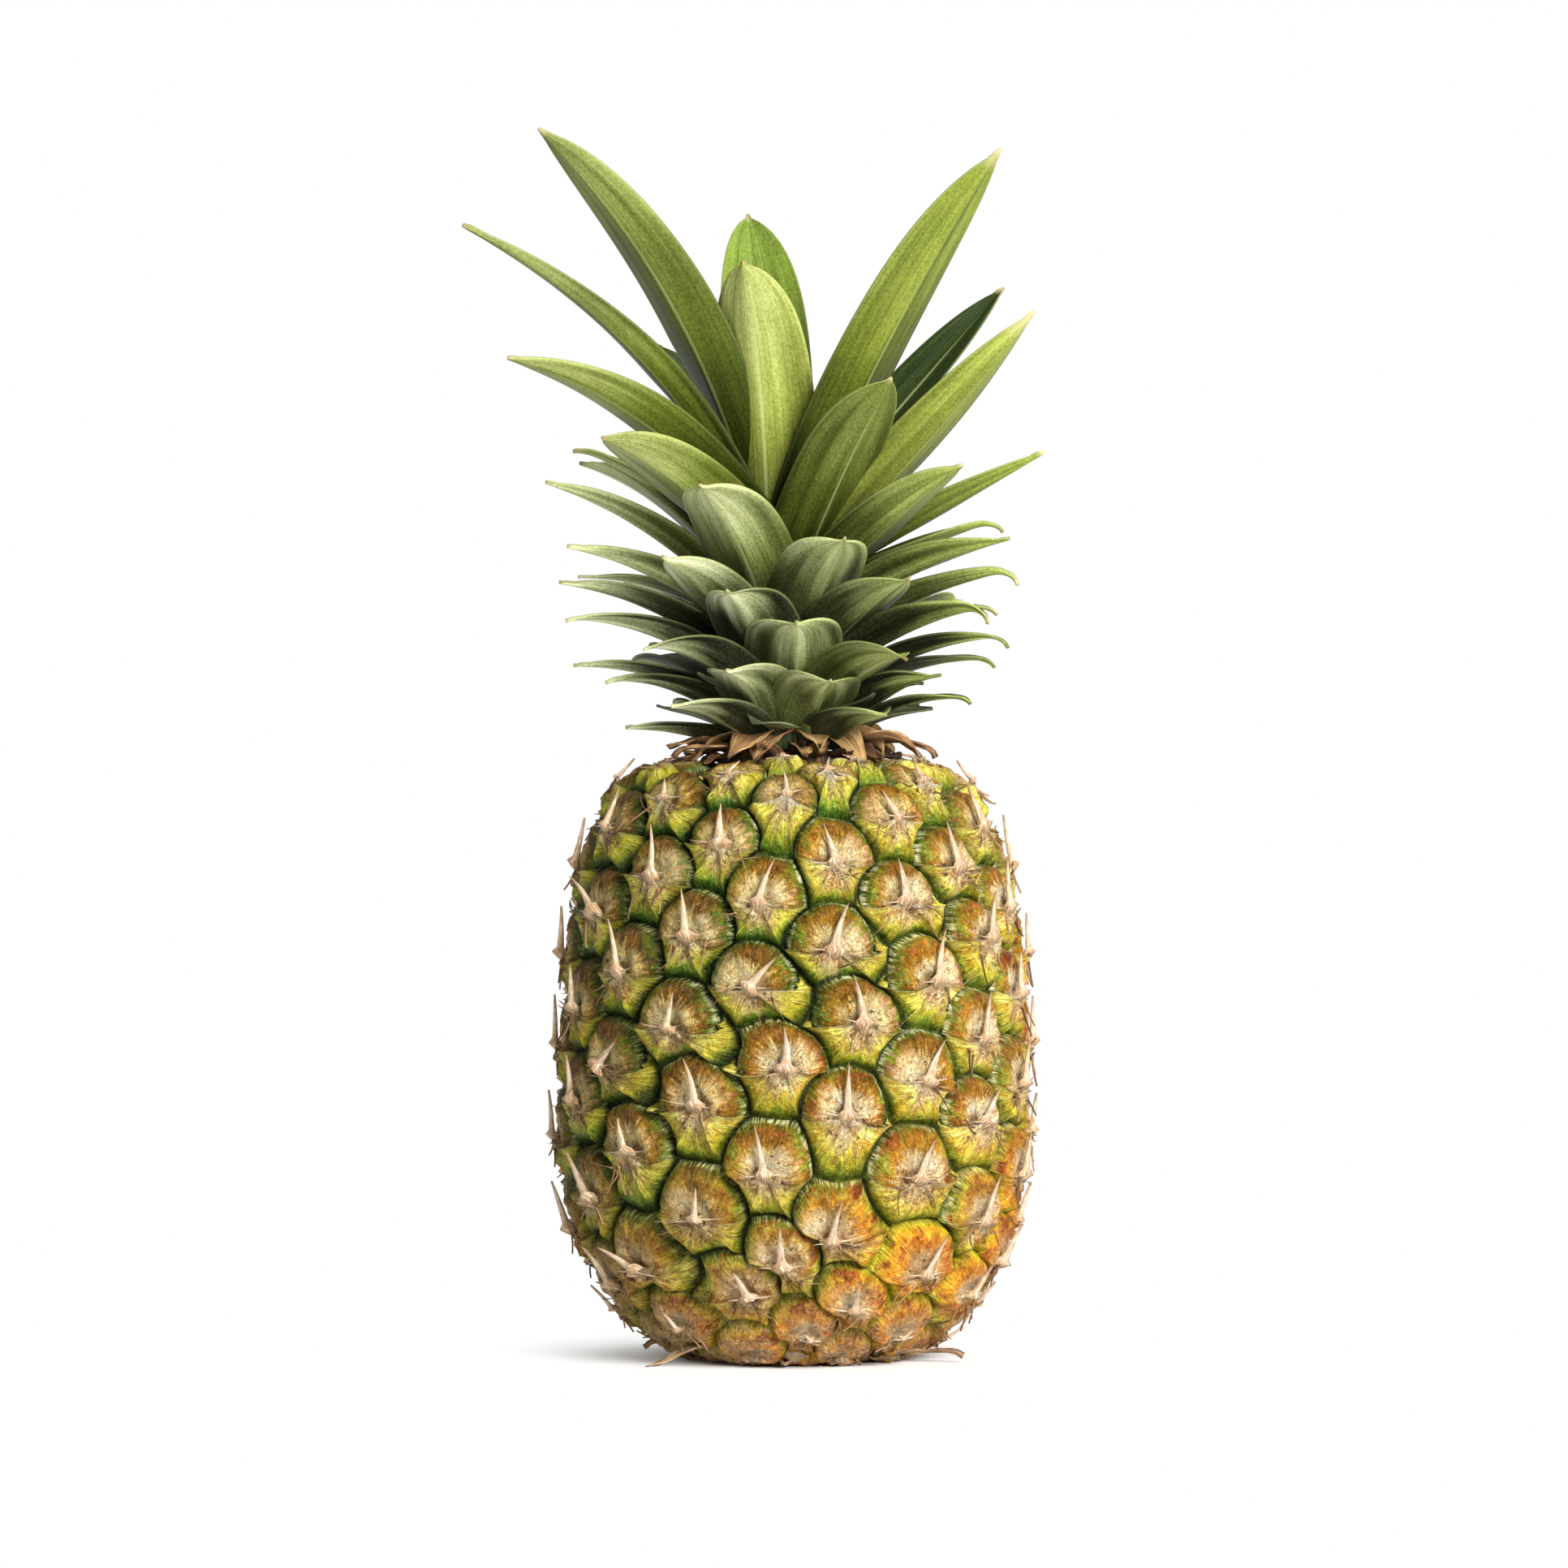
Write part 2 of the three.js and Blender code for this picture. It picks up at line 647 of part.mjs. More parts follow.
function makeLeaf(leaf, swell = 0) {
  const width = leaf[3];
  const midrib = leafMidrib(leaf);
  const rings = leafShape.stations.map((share) => {
    const { point, side, inner } = midrib[Math.round(share * midribSteps)];
    const half = Math.max(width * leafWidth(share, width), leafShape.tipWidth) / 2 + swell;
    const thick = lerp(leafShape.rootThick, leafShape.tipThick, Math.min(1, share * 1.5)) / 2;
    const edge = Math.max(0.35, thick * 0.4) + swell;
    const rise = leafShape.trough * 2 * half;
    const at = (u, v) => point.clone().addScaledVector(side, u).addScaledVector(inner, v);
    return [
      at(-half, rise - edge),
      at(0, -thick - swell),
      at(half, rise - edge),
      at(half, rise + edge),
      at(0, thick + swell),
      at(-half, rise + edge),
    ];
  });
  return solidFromRings(rings);
}

function backLeaf([azimuth, rootZ]) {
  const share = (rootZ - stem.bottom) / (backLeaves[0][1] - stem.bottom);
  const { length, width, rootLean, tipLean } = backShape;
  const along = (range) => lerp(...range, share);
  return [azimuth, rootZ, along(length), along(width), rootLean, along(tipLean), 0, 0];
}

function allLeaves() {
  const leaves = Object.entries(namedLeaves).map(([name, leaf]) => ({ name, leaf }));
  backLeaves.forEach((place, k) => {
    leaves.push({ name: `leaf_back_${k + 1}`, leaf: backLeaf(place) });
  });
  return leaves.sort((a, b) => b.leaf[1] - a.leaf[1]);
}

// each leaf clasps the stem and lies under the leaves that root above it
function makeLeaves() {
  const underCrown = prism(collar.radius + 14, collar.bottom - 20, stem.bottom, 12);
  const inner = [makeStem(gap), underCrown];
  return allLeaves().map(({ name, leaf }) => {
    const whole = makeLeaf(leaf);
    const solid = largestBody(whole.subtract(wasm.Manifold.union(inner)).simplify(crumb));
    inner.push(makeLeaf(leaf, gap));
    return { name, leaf, solid };
  });
}

// ---- assembly ----------------------------------------------------------------------------

function material(colour, roughness) {
  return new THREE.MeshStandardMaterial({ color: colour, roughness, metalness: 0 });
}

const pineapple = new THREE.Group();

function addPiece(name, solid, look) {
  const mesh = new THREE.Mesh(geometryFrom(solid), look);
  mesh.name = name;
  pineapple.add(mesh);
}

addPiece('fruit', makeFruit(), material(colours.fruit, 0.55));
addPiece('stalk_end', makeStalkEnd(), material(colours.stalk, 0.9));
addPiece('crown_collar', makeCollar(), material(colours.collar, 0.9));
addPiece('crown_stem', makeStem(), material(colours.stem, 0.7));

makeLeaves().forEach(({ name, leaf, solid }) => {
  const share = (leaf[1] - stem.bottom) / (stem.top - stem.bottom);
  const colour = new THREE.Color(colours.leafLow).lerp(new THREE.Color(colours.leafHigh), share);
  addPiece(name, solid, material(colour, 0.5));
});

export default pineapple;
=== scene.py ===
import json
import math
import bpy
import numpy as np
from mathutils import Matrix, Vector

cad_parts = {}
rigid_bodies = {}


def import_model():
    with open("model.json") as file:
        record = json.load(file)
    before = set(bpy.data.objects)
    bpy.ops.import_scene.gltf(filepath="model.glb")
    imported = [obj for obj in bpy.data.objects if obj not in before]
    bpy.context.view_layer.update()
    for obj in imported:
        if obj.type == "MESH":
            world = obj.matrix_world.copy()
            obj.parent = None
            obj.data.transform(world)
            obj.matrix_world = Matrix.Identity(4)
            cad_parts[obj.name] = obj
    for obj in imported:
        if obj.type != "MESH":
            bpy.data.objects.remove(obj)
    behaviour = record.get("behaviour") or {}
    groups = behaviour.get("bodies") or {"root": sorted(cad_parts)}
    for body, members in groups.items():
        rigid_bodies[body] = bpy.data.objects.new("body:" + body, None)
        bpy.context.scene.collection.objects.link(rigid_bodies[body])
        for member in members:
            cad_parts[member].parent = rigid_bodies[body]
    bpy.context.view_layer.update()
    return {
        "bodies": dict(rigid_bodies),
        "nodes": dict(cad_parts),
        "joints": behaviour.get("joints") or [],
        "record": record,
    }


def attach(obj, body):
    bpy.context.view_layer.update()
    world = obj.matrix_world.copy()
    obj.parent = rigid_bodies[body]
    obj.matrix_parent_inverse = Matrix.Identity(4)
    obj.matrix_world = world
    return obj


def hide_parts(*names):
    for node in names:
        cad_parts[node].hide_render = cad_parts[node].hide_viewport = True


# A pineapple standing on its cut base. +Z is its axis and -Y its front; the objects are in metres, and the
# sizes below in millimetres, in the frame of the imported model.
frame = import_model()
print("frame loaded")

mm = 0.001
scene = bpy.context.scene


def noise(n):  # the same number from 0 to 1 for the same n
    wave = np.sin(np.asarray(n, float) * 127.1 + 31.7) * 43758.5453
    return wave - np.floor(wave)


def lerp(a, b, share):
    return a + (b - a) * share


def pick(low, high, n):
    return lerp(low, high, noise(n))


def smooth(low, high, value):
    share = np.clip((np.asarray(value, float) - low) / (high - low), 0, 1)
    return share * share * (3 - 2 * share)


def bump(value, width):  # a soft hump round zero
    return np.exp(-(np.asarray(value, float) / width) ** 2)


def colour(text):  # screen colour to the shader's own
    parts = [int(text[k:k + 2], 16) / 255 for k in (1, 3, 5)]
    return [c / 12.92 if c < 0.04045 else ((c + 0.055) / 1.055) ** 2.4 for c in parts] + [1.0]


def meshPiece(name, points, faces, material, maps=None, values=None):
    # faces is an array of quads or triangles, maps and values hold a number or two for each corner of each face
    mesh = bpy.data.meshes.new(name)
    faces = [np.asarray(f, int) for f in (faces if isinstance(faces, list) else [faces])]
    corners = np.concatenate([f.ravel() for f in faces])
    sizes = np.concatenate([np.full(len(f), f.shape[1]) for f in faces])
    mesh.vertices.add(len(points))
    mesh.vertices.foreach_set("co", (np.asarray(points, float) * mm).ravel())
    mesh.loops.add(len(corners))
    mesh.loops.foreach_set("vertex_index", corners)
    mesh.polygons.add(len(sizes))
    mesh.polygons.foreach_set("loop_start", np.concatenate([[0], np.cumsum(sizes)[:-1]]))
    mesh.polygons.foreach_set("loop_total", sizes)
    for mapName, pairs in (maps or {}).items():
        layer = mesh.uv_layers.new(name=mapName)
        layer.data.foreach_set("uv", np.asarray(pairs, float).ravel())
    for valueName, numbers in (values or {}).items():
        layer = mesh.attributes.new(valueName, "FLOAT", "CORNER")
        layer.data.foreach_set("value", np.asarray(numbers, float).ravel())
    mesh.update()
    mesh.validate()
    mesh.polygons.foreach_set("use_smooth", np.ones(len(mesh.polygons), bool))
    mesh.materials.append(material)
    piece = bpy.data.objects.new(name, mesh)
    scene.collection.objects.link(piece)
    return piece


class NodeLines:  # a tree's nodes, made one line at a time
    family = "ShaderNode"

    def node(self, kind, inputs=None, **settings):
        made = self.tree.nodes.new(kind if "Node" in kind else self.family + kind)
        for key, value in settings.items():
            setattr(made, key, value)
        for key, value in (inputs or {}).items():
            self.give(made.inputs[key], value)
        return made

    def give(self, socket, value):
        if isinstance(value, bpy.types.NodeSocket):
            self.tree.links.new(value, socket)
        else:
            isTint = isinstance(value, str) and value.startswith("#")
            socket.default_value = colour(value) if isTint else value

    def math(self, kind, a, b=0.0, clamp=False):
        made = self.node("ShaderNodeMath", {0: a, 1: b}, operation=kind, use_clamp=clamp)
        return made.outputs[0]

    def times(self, a, b, clamp=False):
        return self.math("MULTIPLY", a, b, clamp)

    def plus(self, a, b, clamp=False):
        return self.math("ADD", a, b, clamp)

    def minus(self, a, b):
        return self.math("SUBTRACT", a, b)

    def apart(self, a, b):
        return self.math("ABSOLUTE", self.minus(a, b))


class Shading(NodeLines):
    def __init__(self, name):
        self.material = bpy.data.materials.new(name)
        self.material.use_nodes = True
        self.tree = self.material.node_tree
        self.shader = self.tree.nodes["Principled BSDF"]

    def mix(self, share, a, b, blend="MIX"):
        made = self.node("Mix", {0: share, 6: a, 7: b}, data_type="RGBA", blend_type=blend)
        return made.outputs[2]

    def ramp(self, value, stops, kind="LINEAR"):
        made = self.node("ValToRGB", {0: value})
        made.color_ramp.interpolation = kind
        while len(made.color_ramp.elements) < len(stops):
            made.color_ramp.elements.new(0.5)
        for element, (place, tint) in zip(made.color_ramp.elements, stops):
            element.position = place
            element.color = colour(tint) if isinstance(tint, str) else [tint] * 3 + [1.0]
        return made.outputs[0]

    def mottle(self, tint, value, share, *stops):  # darker and lighter by a noise
        return self.mix(share, tint, self.ramp(value, stops), "SOFT_LIGHT")

    def range(self, value, low, high, toLow=0.0, toHigh=1.0):
        return self.node("MapRange", {0: value, 1: low, 2: high, 3: toLow, 4: toHigh}).outputs[0]

    def noise(self, place, scale, detail=3.0, rough=0.55, twist=0.0):
        made = self.node("TexNoise", {"Vector": place, "Scale": scale, "Detail": detail,
                                      "Roughness": rough, "Distortion": twist})
        return made.outputs[0]

    def swing(self, value, width):  # a noise's swing round nought
        return self.times(self.minus(value, 0.5), width)

    def away(self, a, b):
        return self.math("SQRT", self.plus(self.math("POWER", a, 2.0), self.math("POWER", b, 2.0)))

    def vector(self, x, y, z=0.0):
        return self.node("CombineXYZ", {0: x, 1: y, 2: z}).outputs[0]

    def attribute(self, name):
        return self.node("Attribute", attribute_name=name).outputs["Fac"]

    def map(self, name):
        split = self.node("SeparateXYZ", {0: self.node("UVMap", uv_map=name).outputs[0]})
        return split.outputs[0], split.outputs[1]

    def objectPlace(self):
        return self.node("TexCoord").outputs["Object"]

    def relief(self, height, strength, distance):
        return self.node("Bump", {"Height": height, "Strength": strength, "Distance": distance}).outputs[0]

    def finish(self, tint, roughness, normal=None, **constants):
        self.give(self.shader.inputs["Base Color"], tint)
        self.give(self.shader.inputs["Roughness"], roughness)
        if normal is not None:
            self.give(self.shader.inputs["Normal"], normal)
        for key, value in constants.items():
            self.give(self.shader.inputs[key.replace("_", " ")], value)
        return self.material


fruitShape = {
    "radius": 58.3,             # widest, between groove and dome
    "waist": 55.6,              # height of the widest place
    "upperHeight": 108.0, "upperPower": 3.04,
    "lowerHeight": 57.0, "lowerPower": 1.68,
    "outerPower": 3.19,
    "shoulder": 152.5,          # level of the flat top
    "shoulderBlend": 5.0,
}

eyeRows = {
    "right": 10, "left": 8,     # eyes once round, up either set of rows
    "rightTurn": 19.6, "rightRise": 10.15,
    "firstTurn": -7.0, "firstRise": 20.0,
    "lowest": -72.0, "lowestSpike": -56.0, "highest": 111.0,
    "farthest": 20, "settling": 12,
}

# eyes that grew off their row: place in the rows, mm to the right, mm up
strayEyes = [
    (3, 4, 5, -6), (3, 3, 6, 1), (4, 2, 0, -3), (5, 2, -3, -3), (2, 4, 6, -3),
    (2, 3, 8, -2), (3, 2, 0, -4), (4, 1, -3, -3), (5, 1, -4, -3), (1, 3, 9, 0),
    (2, 2, 0, -4), (3, 1, -2, -1), (0, 3, 7, 1), (1, 2, 1, -2), (2, 1, -2, -3),
    (3, 0, 5, 2), (0, 2, 1, -1), (1, 1, -3, -2), (2, 0, 5, 2), (0, 1, -4, -2),
    (1, 0, 4, 2), (2, -1, -1, 0), (-1, 1, -7, -2), (0, 0, 5, 1), (1, -1, 0, 0),
    (-1, 0, 3, 2), (0, -1, -1, 2), (1, -2, -2, 2), (-2, 0, 3, 0), (-1, -1, -1, -2),
    (0, -2, -3, -1), (-3, 0, 6, -2), (-2, -1, 1, -3), (-1, -2, -5, -6), (0, -3, 1, 0),
    (-3, -1, -2, -7), (-3, -2, 10, -1), (-1, -3, 3, -3), (-1, -4, 6, 3), (-3, -3, 7, -2),
    (-2, -4, 4, 0),
]

eyeShape = {
    "grooveDepth": 3.0,         # under the outline
    "domeHeight": 2.1,          # over it
    "domeRadius": 11.4,
    "domeRise": 1.5,            # middle of the dome over the middle of the eye
    "crowded": 0.48,            # or this share of the distances to the two corners, where that is less
    "wingLift": 1.5,            # the wing tips stand higher in the groove
    "ridge": 1.2,               # step from the dome up to the bract's upper edge
    "ridgeFall": 3.5,
    "skirtDrop": 1.3,
    "sag": 1.7,                 # the bract's upper edge hangs between root and wing tip
    "arm": 1.6,                 # the wing's end over the groove, past the dome's side
    "rib": 0.9,                 # two ribs run down from the root and bound the tongue
    "tongue": 0.45,             # the tongue lies lower than they do
    "pit": 1.0, "pitAt": 0.14, "pitWidth": 0.17,
    "crease": 0.4, "creaseWidth": 0.08,
    "lumps": 0.42, "skirtLumps": 1.6,
    "uneven": 0.46,
    "domeUneven": (0.75, 1.2),
    "ribAngles": (4 * np.pi / 3, 5 * np.pi / 3), "ribWidth": 0.17,
    "tongueEnds": ((4.3, 4.5), (4.9, 5.15)),
    "hang": (0.3, 1.7), "hangWidth": 0.5,
    "raysPerEdge": 7,
    "rings": 14, "ringPower": 1.25,
    "fill": 0.8,                # how far a dome swells past its circle towards the groove
    "fullReach": 58,            # mm from the axis at which an eye has its full size
    "mapWidth": 40,             # mm that the map of an eye spans
    "stalkHollow": (9.4, 11.9, 11.0),  # depth, outer and inner radius of the hollow for the stalk
    "capDepths": (9, 3.5),      # the closing points lie under the base and under the shoulder
}

# how ripe an eye is, and how much painted shade, darker and greener, lies on it: least on the sunward right and
# low down
ripening = {"middle": 0.36, "sunward": 0.40, "level": 72, "fade": 200, "wander": 0.14, "uneven": 0.30,
            "low": 0.26}
shading = {"middle": 0.46, "sunward": 0.55, "faces": 0.10, "uneven": 0.20, "low": 0.5}
lowLevels = (50, 12)            # mm over the floor between which an eye counts as low


def makeOutline():
    shape = fruitShape
    step = 0.1
    z = np.arange(0, shape["waist"] + shape["upperHeight"] + 1e-9, step)
    above = z > shape["waist"]
    share = np.where(above, (z - shape["waist"]) / shape["upperHeight"],
                     (shape["waist"] - z) / shape["lowerHeight"])
    power = np.where(above, shape["upperPower"], shape["lowerPower"])
    r = shape["radius"] * (1 - np.minimum(share, 1) ** power) ** (1 / shape["outerPower"])
    level = z - shape["shoulderBlend"] * np.log1p(np.exp((z - shape["shoulder"]) / shape["shoulderBlend"]))
    walked = np.concatenate([[0], np.cumsum(np.hypot(np.diff(r), np.diff(level)))])
    walked -= walked[int(round(shape["waist"] / step))]
    return walked, r, level


outlineS, outlineR, outlineZ = makeOutline()
outlineDr = np.gradient(outlineR, outlineS)
outlineDz = np.gradient(outlineZ, outlineS)
lowDr, lowDz = outlineDr[4], outlineDz[4]


def onOutline(s):  # radius, height and slope at a length walked from the waist; straight on below the base
    s = np.asarray(s, float)
    below = np.minimum(s - outlineS[0], 0)
    r = np.maximum(np.interp(s, outlineS, outlineR) + below * lowDr, 5)
    z = np.interp(s, outlineS, outlineZ) + below * lowDz
    dr = np.where(below < 0, lowDr, np.interp(s, outlineS, outlineDr))
    dz = np.where(below < 0, lowDz, np.interp(s, outlineS, outlineDz))
    size = np.hypot(dr, dz)
    return r, z, dr / size, dz / size


def onFruit(turn, s, height):
    r, z, dr, dz = onOutline(s)
    angle = np.radians(np.asarray(turn) - 90)
    reach = r + height * dz
    return np.stack([reach * np.cos(angle), reach * np.sin(angle), z - height * dr], -1)


def degreesOver(width, s):
    return np.degrees(width / onOutline(s)[0])


leftTurn = (360 - eyeRows["right"] * eyeRows["rightTurn"]) / eyeRows["left"]
leftRise = eyeRows["right"] * eyeRows["rightRise"] / eyeRows["left"]


def eyeName(i, j):
    rounds = math.floor(i / eyeRows["right"])
    return i - rounds * eyeRows["right"], j + rounds * eyeRows["left"]


def settleEyes():
    fixed = {eyeName(i, j): (right, up) for i, j, right, up in strayEyes}
    around = [(0, -1), (1, 0), (1, 1), (0, 1), (-1, 0), (-1, -1)]
    off = {}
    for _ in range(eyeRows["settling"]):
        for i in range(eyeRows["right"]):
            for j in range(-eyeRows["farthest"], eyeRows["farthest"] + 1):
                near = [off.get(eyeName(i + di, j + dj), (0, 0)) for di, dj in around]
                pull = (sum(o[0] for o in near) / 7, sum(o[1] for o in near) / 7)
                off[eyeName(i, j)] = fixed.get(eyeName(i, j), pull)
    return off


offRow = settleEyes()


def eyeCentre(i, j):
    s = eyeRows["firstRise"] + i * eyeRows["rightRise"] + j * leftRise
    turn = eyeRows["firstTurn"] + i * eyeRows["rightTurn"] - j * leftTurn
    right, up = offRow.get(eyeName(i, j), (0, 0))
    return float(turn + degreesOver(right, s)), s + up


def eyeCorners(i, j):
    corners = []
    for side, ci, cj in (("left", i, j - 1), ("right", i, j), ("left", i, j),
                         ("right", i - 1, j), ("left", i - 1, j - 1), ("right", i - 1, j - 1)):
        low = eyeCentre(ci, cj)
        beside = eyeCentre(ci + 1, cj) if side == "right" else eyeCentre(ci, cj + 1)
        top = eyeCentre(ci + 1, cj + 1)
        corners.append(((side,) + eyeName(ci, cj),
                        (low[0] + beside[0] + top[0]) / 3, (low[1] + beside[1] + top[1]) / 3))
    return corners


def grooveArc(owner, a, b):  # points of the groove from corner a to corner b, round its owner's dome
    count = eyeShape["raysPerEdge"]
    share = 0.5 - 0.5 * np.cos(np.pi * np.arange(1, count) / count)
    if owner[1] < eyeRows["lowest"]:
        return lerp(a[1], b[1], share), lerp(a[2], b[2], share)
    middleTurn, middleS = owner[0], owner[1] + eyeShape["domeRise"]
    reach = float(onOutline(middleS)[0])

    def polar(corner):
        right, up = math.radians(corner[1] - middleTurn) * reach, corner[2] - middleS
        return math.atan2(up, right), math.hypot(up, right)
    angleA, radiusA = polar(a)
    angleB, radiusB = polar(b)
    sweep = (angleB - angleA + math.pi) % (2 * math.pi) - math.pi
    dome = min(eyeShape["domeRadius"], eyeShape["crowded"] * (radiusA + radiusB))
    radius = dome + (radiusA - dome) * (1 - share) ** 3 + (radiusB - dome) * share ** 3
    angle = angleA + sweep * share
    return middleTurn + np.degrees(radius * np.cos(angle) / reach), middleS + radius * np.sin(angle)


def reliefScale(s):  # the relief is lower where the fruit is slim
    return np.minimum(1, 0.35 + onOutline(s)[0] / 80)


def allEyes():
    eyes = []
    for i in range(eyeRows["right"]):
        for j in range(-eyeRows["farthest"], eyeRows["farthest"] + 1):
            turn, s = eyeCentre(i, j)
            if eyeRows["lowest"] < s < eyeRows["highest"]:
                eyes.append((i, j, turn, s))
    return eyes


def unevenness(x, y, seed):  # slow swells, none alike from eye to eye
    a, b, c = (9 * noise(seed + k) for k in (41, 43, 47))
    swell = np.sin(0.62 * x + a) * np.sin(0.55 * y + b) + 0.6 * np.sin(1.25 * x + 0.7 * y + c)
    return eyeShape["uneven"] * (swell + 0.5 * np.sin(1.7 * y - 1.1 * x + a + c))


def armShare(rho, up):  # past the dome's side the end of the bract's wing begins
    return smooth(0.98, 1.12, rho) * (1 - smooth(0.35, 0.6, up)) * (up > -1e-6)


def eyeRelief(q, angle, rho, rim, x, y, s, seed):
    # height over the outline: q runs from the root of the bract tip to the groove, angle from the right wing,
    # rho from the middle of the dome to its edge, and rim is the height of the groove on the same ray
    shape = eyeShape
    up = np.sin(angle)
    isBract = np.where(up < 1e-6, 1.0, 0.0)
    top = shape["domeHeight"] * pick(*shape["domeUneven"], seed + 3)
    depth = shape["grooveDepth"]
    lumps = shape["lumps"] * np.sin(3.1 * angle + 9 * noise(seed + 5)) * np.sin(7.5 * q + 6 * noise(seed + 7))
    dome = top - (top + depth) * np.minimum(rho, 1) ** 7
    dome = dome - shape["pit"] * bump(q - shape["pitAt"], shape["pitWidth"]) * smooth(0.0, 0.1, q)
    dome = dome + lumps * q * (1 - q ** 4)
    crease = shape["crease"] * bump(np.cos(angle) * q, shape["creaseWidth"])
    dome = dome - crease * smooth(0.1, 0.3, q) * (1 - smooth(0.5, 0.75, q))
    arm = lerp(rim + shape["arm"], rim, smooth(0.9, 1.0, q))
    dome = lerp(dome, np.maximum(dome, arm), armShare(rho, up))
    dome = lerp(dome, rim, smooth(0.86, 1.0, q) * smooth(0.94, 1.0, rho))
    ribs = sum(bump(angle - at, shape["ribWidth"]) for at in shape["ribAngles"])
    tongueStart, tongueEnd = shape["tongueEnds"]
    between = smooth(*tongueStart, angle) * (1 - smooth(*tongueEnd, angle))
    skirt = top + shape["ridge"] * np.exp(-np.maximum(0, -y) / shape["ridgeFall"])
    skirt = skirt - shape["skirtDrop"] * (-up) * q
    carved = shape["rib"] * ribs - shape["tongue"] * between
    skirt = skirt + carved * smooth(0.08, 0.35, q) * (1 - smooth(0.7, 1, q))
    skirt = skirt + shape["skirtLumps"] * lumps * smooth(0, 0.2, q) * (1 - q ** 3)
    skirt = lerp(skirt, rim, q ** 7)
    inside = smooth(0.05, 0.3, q) * (1 - smooth(0.75, 1, q))
    return (np.where(isBract > 0, skirt, dome) + unevenness(x, y, seed) * inside) * reliefScale(s)


def rootHeight(s, seed):
    return float(eyeRelief(np.array(0.0), np.array(-0.1), np.array(0.0), 0.0, 0.0, 0.0, s, seed))


def eyeFields(turn, s, seed):
    across = np.sin(np.radians(turn))
    level = onOutline(s)[1]
    low = smooth(*lowLevels, level)
    wander = ripening["wander"] * np.sin(0.11 * level + 2.3 * np.radians(turn))
    wander = wander + ripening["uneven"] * (noise(seed + 17) - 0.5)
    ripe = ripening["middle"] + ripening["sunward"] * across - (level - ripening["level"]) / ripening["fade"]
    ripe = ripe + wander + ripening["low"] * low
    # dark is painted shade: deepest on the left, away from the key light, and less low down
    dark = shading["middle"] - shading["sunward"] * across - shading["faces"] * np.cos(np.radians(2 * turn))
    dark = dark + shading["uneven"] * (noise(seed + 19) - 0.5) - shading["low"] * low
    return np.clip(ripe, 0, 1), np.clip(dark, 0, 1)


def eyeRims(eyes):  # the points of the grooves, which neighbours share, and each eye's round of them
    shared, rimPoints, allRims = {}, [], []

    def rimPlace(key, turn, s, lift):
        if key not in shared:
            shared[key] = len(rimPoints)
            rimPoints.append((turn, s, -(eyeShape["grooveDepth"] - lift) * float(reliefScale(s))))
        return shared[key]

    for i, j, turn, s in eyes:
        found = eyeCorners(i, j)
        owners = [(i, j)] * 3 + [(i - 1, j), (i - 1, j - 1), (i, j - 1)]
        rim = []
        for k in range(6):
            a, b = found[k], found[(k + 1) % 6]
            # a shared point may be stored a whole turn away, so the round keeps its own turns
            rim.append((rimPlace(a[0], a[1], a[2], eyeShape["wingLift"]), a[1]))
            backwards = b[0] < a[0]
            first, last = (b, a) if backwards else (a, b)
            arcTurn, arcS = grooveArc(eyeCentre(*owners[k]), first, last)
            count = len(arcS)
            lift = eyeShape["wingLift"] * np.abs(2 * (np.arange(1, count + 1) / (count + 1)) - 1) ** 3
            for n in range(count)[::-1] if backwards else range(count):
                rim.append((rimPlace((first[0], last[0], n), arcTurn[n], arcS[n], lift[n]), arcTurn[n]))
        allRims.append(rim)
    return np.array(rimPoints), allRims


